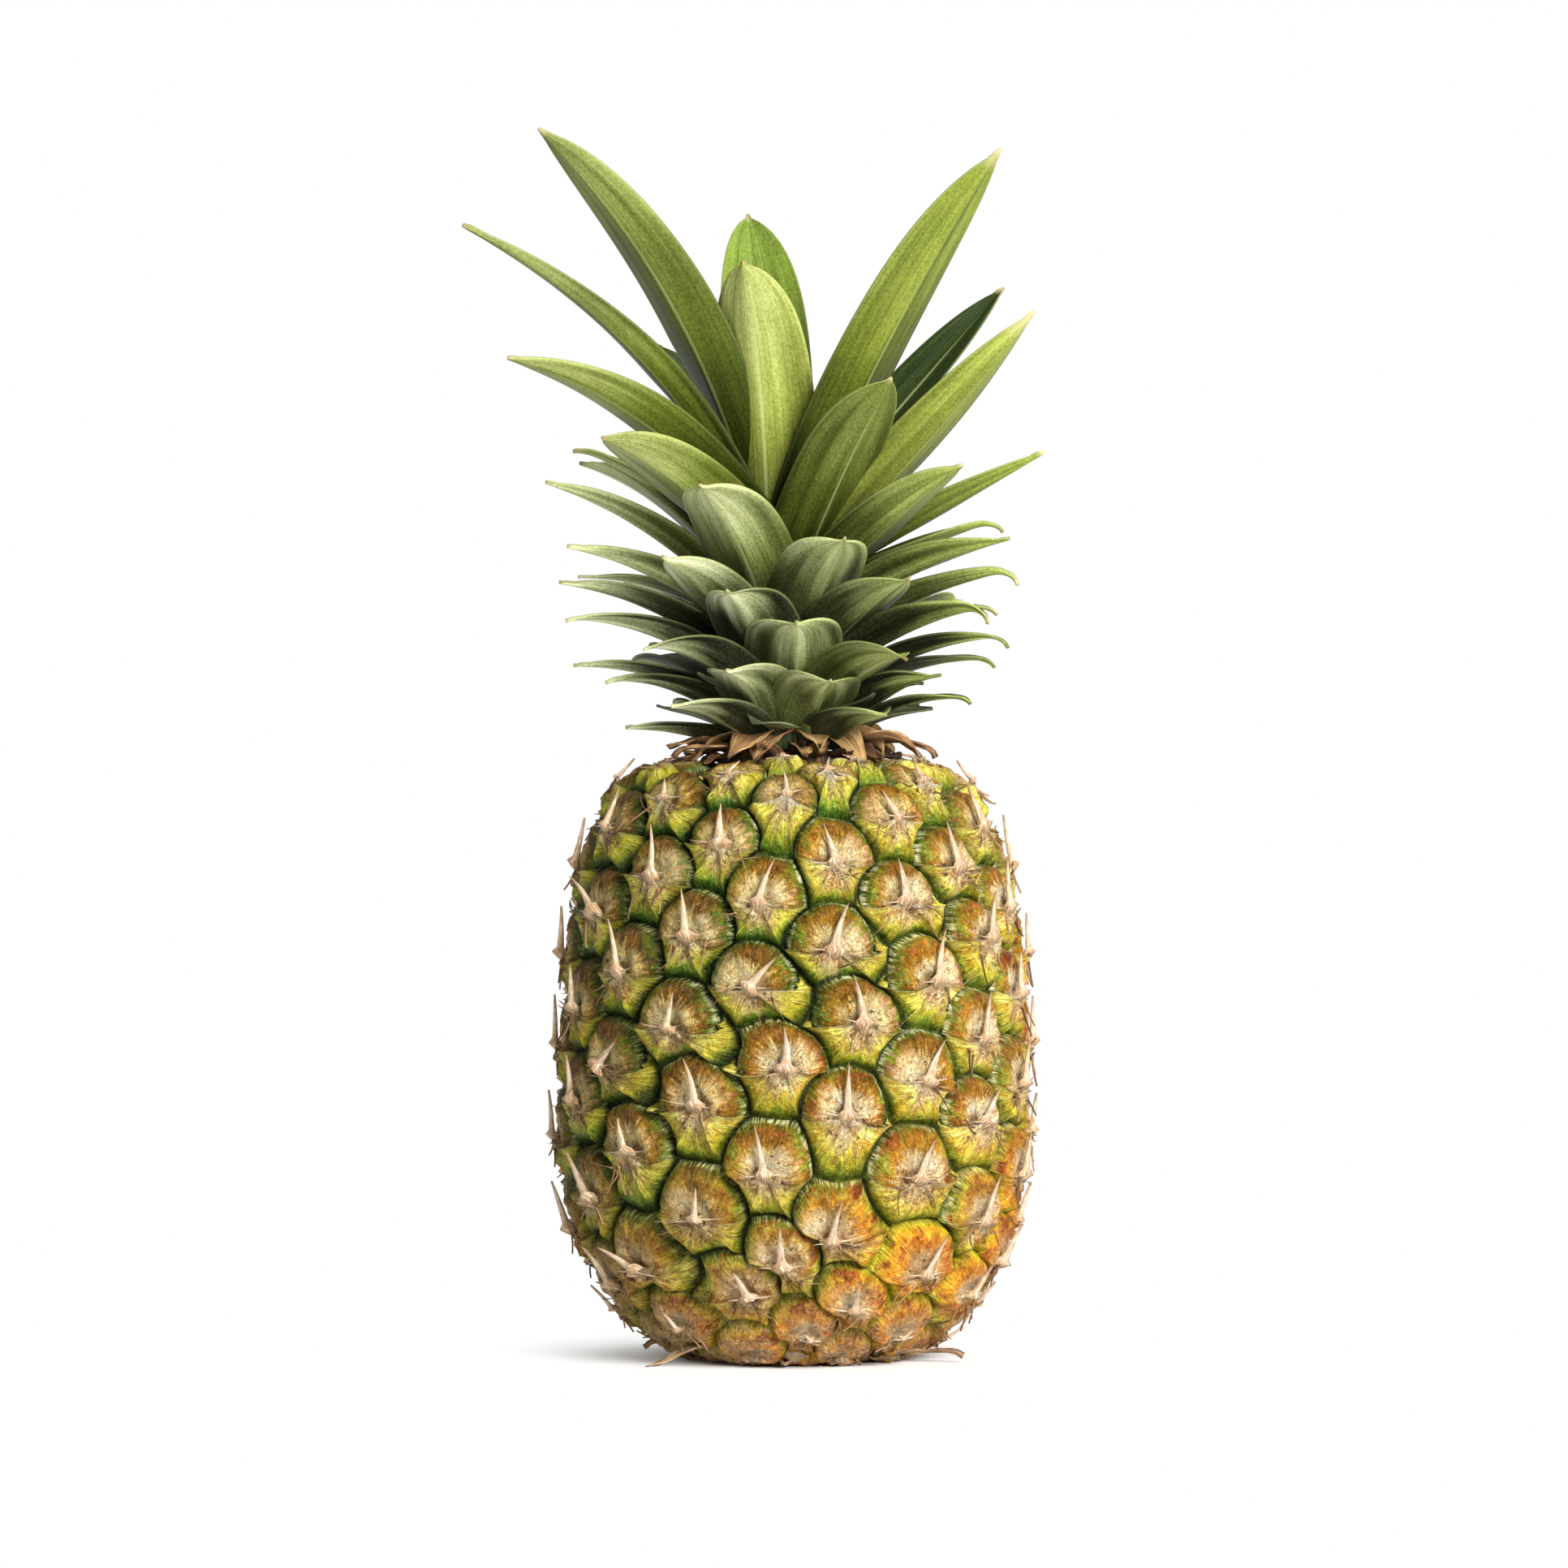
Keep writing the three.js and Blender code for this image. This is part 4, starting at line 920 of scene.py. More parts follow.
def makeTipMaterial():
    look = tipLook
    m = Shading("dry_tip")
    along, across, chance, kind = (m.attribute(k) for k in ("along", "across", "chance", "kind"))
    place = m.vector(m.times(across, 5.0), m.times(along, 3.6), m.times(chance, 40.0))
    grain = m.noise(place, 1.8, 4.0, 0.7)
    tint = m.ramp(along, look["along"])
    middle = m.times(m.range(m.math("ABSOLUTE", across), 0.75, 0.2), m.range(grain, 0.42, 0.6, 0.2, 0.8))
    tint = m.mix(m.times(middle, 0.75), tint, look["middle"])
    tint = m.mix(m.range(grain, 0.52, 0.64, 0.0, 0.9), tint, look["dark"])
    tint = m.mix(m.range(grain, 0.46, 0.36), tint, look["pale"])
    speck = m.range(m.noise(m.objectPlace(), 700.0), 0.58, 0.7)
    tint = m.mix(m.times(speck, 0.4), tint, look["speck"])
    tint = m.mix(m.range(kind, 0.6, 0.9), tint, m.mix(chance, *look["fibre"]))
    return m.finish(tint, m.range(grain, 0.2, 0.8, *look["roughness"]), m.relief(grain, *look["relief"]))


def makeTips():
    vectors = {key: [] for key in ("root", "right", "up", "out")}
    numbers = {key: [] for key in ("size", "sway", "lift", "reach", "chance", "kind")}

    def add(root, frame, tilt, size, sway, lift, reach, chance, kind):
        # tilt turns it in the skin, in degrees clockwise from upright; kind is 0 for a spike, 0.5 for a whisker
        # and 1 for a fibre
        right, up, out = frame
        a = math.radians(tilt)
        vectors["root"].append(root * mm)
        vectors["right"].append(right * math.cos(a) - up * math.sin(a))
        vectors["up"].append(up * math.cos(a) + right * math.sin(a))
        vectors["out"].append(out)
        row = (size, sway * mm, lift * mm, reach, chance, kind)
        for key, value in zip(numbers, row):
            numbers[key].append(value)

    shape = tipShape
    for i, j, turn, s in eyes:
        if s < eyeRows["lowestSpike"]:
            continue
        seed = i * 31 + j * 7
        crowd = float(np.clip((onOutline(s)[0] - 30) / 20, 0.42, 1) * reliefScale(s))
        frame = skinFrame(turn, s)
        root = onFruit(turn, s, rootHeight(s, seed) + 0.2)
        free = (pick(*shape["tilt"], seed + 0.5), pick(*shape["reach"], seed), pick(*shape["bend"], seed + 61))
        tilt, reach, bend = tipPoses.get((i, j), free)
        add(root, frame, tilt, pick(*shape["size"], seed + 29) * crowd, bend * crowd,
            shape["lift"] * pick(*shape["lifts"], seed + 31) * crowd, reach * crowd, noise(seed + 23), 0)
        for side in (-1, 1):
            wide, long = shape["whisker"]
            long = long * pick(0.6, 1.25, seed + 33 + side)
            curve = -(long * shape["length"]) ** 2 / (2 * onOutline(s)[0])
            add(root, frame, side * pick(84, 104, seed + 35 + side), wide * crowd,
                -side * pick(0.2, 1.6, seed + 37 + side), curve + 0.5, long * crowd,
                noise(seed + 39 + side), 0.5)
        for n in range(shape["fibres"]):
            wide, long = shape["fibre"]
            side = 1 if noise(seed + 71 + n) > 0.5 else -1
            place = onFruit(turn + side * pick(1.5, 6, seed + 73 + n), s - pick(1, 4.5, seed + 75 + n),
                            rootHeight(s, seed) - 0.3)
            add(place, frame, side * pick(60, 200, seed + 77 + n), wide * pick(0.7, 1.3, seed + 79 + n),
                pick(-5, 5, seed + 81 + n), pick(-0.5, 2.0, seed + 83 + n),
                long * crowd * pick(0.5, 1.1, seed + 85 + n), noise(seed + 87 + n), 1)
    carrier = carrierOf("tip_roots", np.array(vectors["root"]) / mm, vectors, numbers)
    sizes = {"Width": shape["width"] * mm, "Length": shape["length"] / (1 - shape["tail"]) * mm,
             "Tail": shape["tail"], "Sink": shape["sink"] * mm,
             "Rings": shape["rings"], "Sides": shape["sides"]}
    material = makeTipMaterial()
    growth = bladeTree("bract_tip_growth", sizes, shape["widthProfile"], material)
    tips = growth.grow(carrier, "bract_tips", material)
    print("bract tips, whiskers and fibres:", len(numbers["size"]))
    return tips


tips = makeTips()
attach(tips, "root")

stemShape = {"bottom": 155.8, "top": 224.0, "bottomRadius": 18.0, "topRadius": 7.0, "tilt": 5.0}

leafShape = {
    "rootWidth": 0.86, "widestAt": 0.32, "taper": (1.4, 4.0), "tipRound": 0.35,
    "rootThick": 2.6, "tipThick": 0.7, "marginThick": 0.45,
    "trough": 0.24, "fold": 1.12, "awlFrom": (0.95, 0.985), "awl": 1.7, "sunk": 2.5, "droopFrom": 0.8,
    "tipWidth": 0.5, "rows": 56, "columns": 12, "ripple": 0.35,
}

# azimuth, height of the root, length, width, lean at the root, at the tip and roll; then, where they aren't the
# usual ones, extra droop, how dry the tip is, and the leaf's painted light and shade: over nought lit and
# yellower, under nought in painted shade
usualLeaf = (0, 0.15, 0)
crownLeaves = {
    "leaf_left_tall": (210, 218, 114, 20, 18, 50, 22, 0, 0.1, -0.45),
    "leaf_left_long": (202, 216, 108, 12, 30, 66, 20, 0, 0.15, -0.3),
    "leaf_front_tall": (250, 206, 76, 26, 4, 24, 0, 0, 0.15, 0.5),
    "leaf_back_tall": (108, 218, 79, 24, 4, 20, 0, 0, 0.15, 0.05),
    "leaf_right_tall": (320, 211, 116, 19, 29, 42, -20, 0, 0.35, -0.15),
    "leaf_right_dark": (28, 211, 90, 17, 43, 43, 24, 0, 0.15, -0.98),
    "leaf_right_long": (328, 202, 93, 17, 50, 44, -20, 0, 0.7, 0.4),
    "leaf_front_right": (301, 200, 67, 21, 38, 50, -12, 0, 0.15, -0.4),
    "leaf_right_fold": (314, 193, 65, 18, 54, 64, -12),
}
for side, row in {
    "right": [
        (342, 198, 70, 13, 62, 62, -20), (12, 196, 54, 12, 66, 70, 0, 80, 0.4),
        (338, 188, 56, 15, 58, 78, -20), (352, 184, 54, 12, 62, 78, -20, 100, 0.4),
        (16, 181, 48, 11, 66, 84, 0, 60, 0.4), (328, 174, 52, 16, 56, 84, -15, 100, 0.4),
        (346, 171, 48, 12, 60, 86, -10, 80), (4, 169, 42, 11, 60, 92, 0, 60),
        (350, 159, 34, 10, 50, 96, 0, 50),
    ],
    "front": [
        (247, 189, 54, 24, 42, 64, 5, 0, 0.15, 0.1), (288, 182, 46, 23, 46, 64, -5),
        (250, 172, 40, 23, 42, 66, 5), (272, 166, 36, 25, 40, 66, 0, 0, 0.15, 0.25),
        (304, 178, 48, 19, 58, 72, -10), (247, 160, 32, 22, 48, 74, 5, 0, 0.15, 0.25),
        (282, 158, 34, 22, 50, 78, -5, 0, 0.15, 0.35), (297, 164, 52, 19, 58, 88, -10, 30, 0.5, 0.5),
        (316, 160, 40, 15, 56, 82, -10), (300, 157, 32, 18, 70, 84, 0),
    ],
    "left": [
        (215, 213, 86, 17, 46, 78, 20), (163, 205, 56, 14, 50, 66, 0, 30, 0.4),
        (230, 202, 68, 21, 50, 76, 15, 0, 0.3), (193, 191, 62, 14, 44, 72, 15), (203, 185, 54, 14, 52, 80, 15),
        (234, 179, 48, 19, 50, 68, 10), (192, 178, 52, 14, 52, 82, 10), (198, 173, 50, 14, 54, 88, 10, 20),
        (230, 168, 46, 17, 56, 90, 10, 20), (190, 164, 45, 12, 54, 92, 5), (204, 161, 40, 13, 50, 94, 5, 20),
        (232, 157, 36, 18, 62, 88, 0), (198, 157, 30, 12, 74, 90, 0),
    ],
}.items():
    crownLeaves.update({f"leaf_{side}_{k + 1}": leaf for k, leaf in enumerate(row)})
crownLeaves.update({
    "leaf_left_dark": (135, 219, 58, 15, 28, 56, 0, 0, 0.15, -0.6),
    "leaf_back_thin": (50, 214, 66, 9, 44, 54, 0),
    "leaf_left_thin": (170, 187, 46, 11, 56, 90, 0),
})

backShape = {"length": (38, 76), "width": (22, 20), "rootLean": 36, "tipLean": (94, 66)}
backLeaves = [(62, 206), (118, 203), (88, 196), (148, 193), (40, 189), (112, 184),
              (76, 178), (140, 174), (34, 171), (98, 167), (150, 160), (62, 158)]


def stemX(z):
    return -(z - stemShape["bottom"]) * math.tan(math.radians(stemShape["tilt"]))


def stemRadius(z):
    share = np.clip((z - stemShape["bottom"]) / (stemShape["top"] - stemShape["bottom"]), 0, 1)
    return lerp(stemShape["bottomRadius"], stemShape["topRadius"], share)


def bladeMesh(start, azimuth, length, width, leans, roll, droop, seed, shape, rows, columns):
    # both faces of one blade: points row by row, first the inner face and then the outer one
    share = np.linspace(0, 1, rows + 1)
    late = np.maximum(0, (share - shape["droopFrom"]) / (1 - shape["droopFrom"]))
    lean = np.radians(lerp(leans[0], leans[1], share) + droop * late ** 2)
    heading = math.radians(azimuth)
    out = np.array([math.cos(heading), math.sin(heading), 0.0])
    across = np.array([-out[1], out[0], 0.0])
    along = np.sin(lean)[:, None] * out + np.cos(lean)[:, None] * np.array([0, 0, 1.0])
    middle = start + np.concatenate([np.zeros((1, 3)), np.cumsum(along[:-1], 0)]) * length / rows
    twist = np.radians(roll) * np.minimum(1, share * 2.5)
    normal = np.cross(along, across)
    side = across * np.cos(twist)[:, None] + normal * np.sin(twist)[:, None]
    inner = np.cross(along, side)
    least, most = shape["taper"]
    taper = np.clip(width / 6.5, least, most)
    roundness = 1 - shape["tipRound"] * (taper - least) / (most - least)
    grown = lerp(shape["rootWidth"], 1, np.sin(np.minimum(share / shape["widestAt"], 1) * math.pi / 2))
    past = np.clip((share - shape["widestAt"]) / (shape["awlFrom"] - shape["widestAt"]), 0, 1)
    waned = (1 - past ** taper) ** roundness
    awl = shape["awl"] * (1 - share) / (1.001 - shape["awlFrom"])
    half = np.maximum(width * np.where(share < shape["widestAt"], grown, waned), np.minimum(awl, shape["awl"]))
    half = np.maximum(half, shape["tipWidth"]) / 2
    u = np.linspace(-1, 1, columns + 1)
    rise = shape["trough"] * 2 * half[:, None] * np.abs(u) ** shape["fold"]
    wave = np.sin(9 * share[:, None] + 4 * u + 9 * noise(seed))
    rise = rise + shape["ripple"] * wave * np.abs(u) * share[:, None]
    thick = lerp(shape["rootThick"], shape["tipThick"], np.minimum(1, share * 1.5))[:, None] / 2
    thick = lerp(thick, np.minimum(thick, shape["marginThick"] / 2), np.abs(u) ** 1.5)
    centre = middle[:, None] + side[:, None] * (half[:, None] * u)[..., None]
    faces = [centre + inner[:, None] * (rise + sign * thick)[..., None] for sign in (1, -1)]
    points = np.concatenate([f.reshape(-1, 3) for f in faces])
    count = (rows + 1) * (columns + 1)
    row, column = np.meshgrid(np.arange(rows), np.arange(columns), indexing="ij")
    a = (row * (columns + 1) + column).ravel()
    up, over = a + columns + 1, a + 1
    innerQuads = np.stack([a, over, over + columns + 1, up], -1)
    outerQuads = np.stack([a, up, over + columns + 1, over], -1) + count
    left = np.arange(rows) * (columns + 1)
    right = left + columns
    margins = [np.stack([left, left + columns + 1, left + columns + 1 + count, left + count], -1),
               np.stack([right, right + count, right + columns + 1 + count, right + columns + 1], -1)]
    first, last = np.arange(columns), rows * (columns + 1) + np.arange(columns)
    ends = [np.stack([first, first + count, first + 1 + count, first + 1], -1),
            np.stack([last, last + 1, last + 1 + count, last + count], -1)]
    quads = np.concatenate([innerQuads, outerQuads] + margins + ends)
    bladeMap = np.stack([np.tile(u * 0.5 + 0.5, 2 * (rows + 1)), np.tile(np.repeat(share, columns + 1), 2)], -1)
    inside = np.concatenate([np.ones(count), np.zeros(count)])
    return points, quads, bladeMap, inside


leafLook = {
    # a pair is for the lower and for the upper leaves of the crown, except where the note says otherwise
    "outer": ("#a0a968", "#78822c"),
    "inner": ("#414c28", "#566c10"),
    # the root tint and where it lies are painted shade at the root, where the leaves cover one another
    "root": ("#0c1108", "#1c2604"),
    "paintedRootShade": ((0.91, 0.45), (0.76, 0.09)),  # where along the leaf the dark root ends and is full
    "bloomShare": (0.30, 0.0),
    "pale": ("#cdd29e", "#a4b256"),  # left and right
    "dry": ("#7a6238", "#c6bb8c"),  # blotches of one in the other
    # the lit tint and the shaded tint that each leaf's painted light and shade mixes in
    "shady": "#6f8630",
    "paintedLightAndShade": "#9ca24a",
    "deep": "#1e2a08",
    "bloom": "#d4d8ba",
    "margin": "#b4b874",
    "crease": "#c3cb8c",
    "leftToRight": (-0.015, 0.035),  # metres
    "mottles": {"vein": (0.45, (0.3, 0.2), (0.7, 0.84)), "scurf": (0.5, (0.35, 0.25), (0.65, 0.8)),
                "cloud": (0.5, (0.3, 0.25), (0.7, 0.78))},
    "relief": (0.4, 0.0007),    # strength and height in metres
    "specular": 0.09,
    "roughness": (0.36, 0.52),
}


def makeLeafMaterial():
    look = leafLook
    m = Shading("crown_leaf")

    def lowerToUpper(low, high):
        return m.range(upper, 0.0, 1.0, low, high)

    u, v = m.map("blade")
    inside, upper, chance = (m.attribute(k) for k in ("inside", "upper", "chance"))
    dry, paintedLightAndShade = m.attribute("dry"), m.attribute("paintedLightAndShade")
    place = m.objectPlace()
    cloud, scurf = m.noise(place, 45.0, 4.0, 0.6), m.noise(place, 1500.0, 2.0, 0.6)
    vein = m.noise(m.vector(m.times(u, 55.0), m.times(v, 2.0), m.times(chance, 30.0)), 1.0, 3.0, 0.6)
    broad = m.noise(m.vector(m.times(u, 6.0), m.times(v, 1.1), m.times(chance, 17.0)), 1.0, 2.0, 0.5)
    across = m.minus(m.times(u, 2.0), 1.0)
    edge = m.math("ABSOLUTE", across)
    lower = m.minus(1.0, upper)
    outward = m.range(inside, 0.0, 1.0, 1.0, 0.3)
    rightward = m.range(m.node("SeparateXYZ", {0: place}).outputs[0], *look["leftToRight"])

    # the outer face is greyer and paler than the inner one, and shadier on the right
    outer = m.mix(m.times(m.times(lower, rightward), 0.75), m.mix(upper, *look["outer"]), look["shady"])
    green = m.mix(inside, outer, m.mix(upper, *look["inner"]))
    # painted light and shade for each leaf: lit leaves are mixed towards a brighter yellow, shaded ones towards
    # near black
    green = m.mix(paintedLightAndShade, green, look["paintedLightAndShade"])
    green = m.mix(m.times(paintedLightAndShade, -1.0, clamp=True), green, look["deep"])
    # paler towards the tip, partly the leaf's own paler tip and partly painted light, and near black painted
    # shade at the root, in a ragged front that runs further down the middle
    paled = m.times(m.range(m.plus(v, m.swing(broad, 0.5)), 0.45, 0.85), lowerToUpper(0.95, 0.22))
    paled = m.times(m.times(paled, outward), m.range(paintedLightAndShade, -0.6, -0.2))
    green = m.mix(paled, green, m.mix(rightward, *look["pale"]))
    wavy = m.plus(v, m.swing(broad, lowerToUpper(0.55, 0.3)))
    wavy = m.minus(wavy, m.times(m.times(edge, edge), lowerToUpper(0.22, 0.08)))
    paintedRootShade = m.mix(upper, *(m.range(wavy, *ends) for ends in look["paintedRootShade"]))
    root = m.mix(upper, *look["root"])
    green = m.mix(m.times(paintedRootShade, m.range(paintedLightAndShade, 0.0, 0.5, 0.95, 0.6)), green, root)
    green = m.mottle(green, broad, lowerToUpper(0.8, 0.5), (0.3, 0.12), (0.7, 0.88))
    for value, key in ((vein, "vein"), (scurf, "scurf"), (cloud, "cloud")):
        green = m.mottle(green, value, *look["mottles"][key])
    # grey bloom, the crease down the middle, the margins and the dry tip
    share = m.times(lowerToUpper(*look["bloomShare"]), outward)
    share = m.times(share, m.range(broad, 0.35, 0.65, 0.3, 1.6))
    share = m.times(share, m.range(rightward, 0.0, 1.0, 1.0, 0.35))
    share = m.times(share, m.range(paintedRootShade, 0.0, 0.8, 1.0, 0.1))
    green = m.mix(m.times(m.range(scurf, 0.40, 0.6), share), green, look["bloom"])
    crease = m.range(m.apart(across, 0.06), 0.05, 0.015)
    green = m.mix(m.times(crease, m.range(v, 0.95, 0.5, 0.0, 0.35)), green, look["crease"])
    rim = m.times(m.range(edge, 0.95, 1.0), m.range(v, 0.3, 0.8, 0.05, 0.28))
    green = m.mix(rim, green, look["margin"])
    withered = m.range(m.plus(v, m.times(cloud, 0.06)), m.minus(1.02, m.times(dry, 0.14)), 1.03)
    green = m.mix(m.times(withered, 0.9), green, m.mix(m.range(cloud, 0.4, 0.6), *look["dry"]))
    height = m.plus(m.plus(m.times(vein, 0.8), m.times(scurf, 0.12)), m.times(broad, 1.5))
    rough = m.plus(m.range(scurf, 0.3, 0.7, *look["roughness"]), m.times(inside, -0.06))
    return m.finish(green, rough, m.relief(height, *look["relief"]), Specular_IOR_Level=look["specular"])


leafMaterial = makeLeafMaterial()


def leafPiece(name, leaf, seed):
    leaf = tuple(leaf) + usualLeaf[len(leaf) - 7:]
    azimuth, rootZ, length, width, rootLean, tipLean, roll, droop, dry, paintedLightAndShade = leaf
    heading = math.radians(azimuth)
    reach = stemRadius(rootZ) - leafShape["sunk"]
    start = np.array([stemX(rootZ) + reach * math.cos(heading), reach * math.sin(heading), rootZ])
    upper = float(smooth(168, 205, rootZ))
    shape = dict(leafShape, awlFrom=lerp(*leafShape["awlFrom"], upper))
    points, quads, bladeMap, inside = bladeMesh(start, azimuth, length, width, (rootLean, tipLean), roll, droop,
                                                seed, shape, shape["rows"], shape["columns"])
    corners = quads.ravel()
    size = len(corners)
    values = {"inside": inside[corners], "upper": np.full(size, upper), "dry": np.full(size, dry),
              "paintedLightAndShade": np.full(size, paintedLightAndShade), "chance": np.full(size, float(noise(seed + 2)))}
    piece = meshPiece(name + "_blade", points, quads, leafMaterial, {"blade": bladeMap[corners]}, values)
    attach(piece, "root")
    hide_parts(name)
    return piece


def makeLeaves():
    for seed, (name, leaf) in enumerate(crownLeaves.items()):
        leafPiece(name, leaf, seed * 3.7)
    top = backLeaves[0][1]
    for k, (azimuth, rootZ) in enumerate(backLeaves):
        share = (rootZ - stemShape["bottom"]) / (top - stemShape["bottom"])
        leaf = (azimuth, rootZ, lerp(*backShape["length"], share), lerp(*backShape["width"], share),
                backShape["rootLean"], lerp(*backShape["tipLean"], share), 0, 0, 0.3, 0)
        leafPiece(f"leaf_back_{k + 1}", leaf, 300 + k * 3.7)
    print("leaves:", len(crownLeaves) + len(backLeaves))


makeLeaves()

# a ring: count, reach from the axis, height, length, width, lean at the root and at the tip, spread, shade; the
# collar's lower rings have less shade value, painted shade under the upper ones
# a scrap stands off by itself: azimuth of the root, reach, height, way it points, length, width, leans
# the core is the skin of radii and heights that they grow from; a coreShade of nought paints it near black, as
# painted shade in the gaps between the blades
dryPieces = {
    "collar_bracts": {
        "rings": [
            (13, 16.5, 159.6, 13.0, 11.5, 98, 138, 10, 0.85),
            (15, 17.5, 156.0, 11.0, 7.0, 84, 122, 16, 0.35),
            (19, 18.5, 153.6, 9.5, 5.5, 70, 104, 20, 0.15),
        ],
        "scraps": [
            (330, 20, 158.5, 8, 19.0, 7.0, 76, 150), (352, 22, 157.5, 350, 16.0, 6.0, 80, 128),
            (200, 19, 158.0, 196, 15.0, 4.0, 84, 108), (222, 20, 156.0, 190, 17.0, 3.0, 80, 112),
        ],
        "core": [(19.0, 149.9), (19.4, 152.0), (18.4, 154.6), (16.5, 155.5)],
        "coreShade": 0.0,
        "look": ("#deb474", "#8a5c32", "#1c0e07"),  # pale, middling and deep
    },
    "stem_scales": {
        "rings": [
            (9, 14.0, 158.6, 24.0, 14.0, 58, 86, 8, 0.5),
            (8, 13.0, 163.0, 22.0, 13.0, 52, 80, 8, 0.5),
        ],
        "scraps": [],
        "core": [(18.0, 155.8), (17.0, 162.0), (14.3, 178.0), (10.6, 202.0), (7.0, 224.0), (4.0, 228.0)],
        "coreShade": 0.0,
        "look": ("#9aa172", "#5f6b40", "#23280f"),
    },
    "base_bracts": {
        "rings": [
            (19, 27.0, 0.9, 8.0, 7.5, 76, 40, 14, 0.75),
            (23, 25.5, 0.7, 6.5, 5.0, 88, 70, 10, 0.45),
        ],
        "scraps": [
            (232, 31, 6.5, 190, 20.0, 4.0, 108, 112), (326, 27, 2.4, 352, 21.0, 3.6, 86, 92),
            (300, 28, 3.5, 296, 7.0, 2.0, 100, 128), (150, 29, 3.0, 160, 15.0, 4.0, 92, 100),
        ],
        "core": [(12.5, 5.0), (12.5, 0.3), (24.0, 0.3), (25.0, 1.2), (26.0, 3.0), (25.0, 5.0), (12.5, 5.0)],
        "coreShade": 0.75,
        "look": ("#d9bd92", "#9a7048", "#3a210f"),
    },
}

bractShape = {
    "rootWidth": 0.95, "widestAt": 0.12, "taper": (1.05, 1.3), "tipRound": 0.0,
    "rootThick": 1.1, "tipThick": 0.5, "marginThick": 0.4,
    "trough": 0.16, "fold": 1.3, "awlFrom": 1.0, "awl": 0.0, "droopFrom": 0.6,
    "tipWidth": 0.4, "rows": 12, "columns": 6, "ripple": 0.9,
    "least": 0.05,              # mm over the floor
    "coreSides": 96, "coreWaves": 0.012, "mapTurns": 6,
}
scaleShape = dict(bractShape, rootWidth=0.8, widestAt=0.35, taper=(1.6, 2.2), ripple=0.3)


def makeDryMaterial(name, pale, mid, deep):
    m = Shading(name)
    u, v = m.map("blade")
    chance, shade = m.attribute("chance"), m.attribute("shade")
    fibre = m.noise(m.vector(m.times(u, 26.0), m.times(v, 1.8), m.times(chance, 31.0)), 1.0, 4.0, 0.65)
    cloud = m.noise(m.objectPlace(), 140.0, 3.0)
    # shade moves the tint between deep and pale; its low values are painted shade
    tint = m.ramp(m.plus(fibre, m.swing(shade, 0.34)), [(0.30, deep), (0.48, mid), (0.66, pale)])
    tint = m.mix(m.range(cloud, 0.42, 0.68), tint, m.mix(0.6, tint, deep, "MULTIPLY"))
    tint = m.mix(m.times(m.range(v, 0.8, 1.0), 0.5), tint, deep)
    return m.finish(tint, m.range(fibre, 0.2, 0.8, 0.55, 0.8), m.relief(fibre, 0.8, 0.0007))


def ringWall(profile, follow):  # a closed skin of rings round the axis or the stem, wavy as a dry rim is
    sides, waves, turns = (bractShape[k] for k in ("coreSides", "coreWaves", "mapTurns"))
    looped = profile[0] == profile[-1]
    rows = profile[:-1] if looped else profile
    turn = np.linspace(0, 2 * math.pi, sides + 1)[:-1]
    points = []
    for r, z in rows:
        wave = 1 + waves * (np.sin(17 * turn + z) + 0.7 * np.sin(7 * turn + 0.5 * z) + 0.5 * np.sin(31 * turn))
        points.append(np.stack([r * wave * np.cos(turn) + (stemX(z) if follow else 0), r * wave * np.sin(turn),
                                np.full(sides, z)], -1))
    k = np.arange(sides)
    after = (k + 1) % sides
    step = np.array([[0, 0], [turns / sides, 0], [turns / sides, 1 / len(rows)], [0, 1 / len(rows)]])
    faces, maps = [], []
    for m in range(len(rows) if looped else len(rows) - 1):
        n = (m + 1) % len(rows)
        faces.append(np.stack([m * sides + k, m * sides + after, n * sides + after, n * sides + k], -1))
        starts = np.stack([turns * k / sides, np.full(sides, m / len(rows))], -1)
        maps.append((starts[:, None] + step).reshape(-1, 2))
    if not looped:  # both ends are closed round a middle point
        two = k[::2]
        for row, flip in ((0, True), (len(rows) - 1, False)):
            middle = np.full(len(two), sides * len(rows) + (0 if flip else 1))
            ends = [row * sides + two, row * sides + (two + 1) % sides, row * sides + (two + 2) % sides]
            faces.append(np.stack((ends[::-1] if flip else ends) + [middle], -1))
            maps.append(np.tile(step, (len(two), 1)))
            points.append(np.array([[stemX(rows[row][1]) if follow else 0, 0, rows[row][1]]]))
    return np.concatenate(points), np.concatenate(faces), np.concatenate(maps)


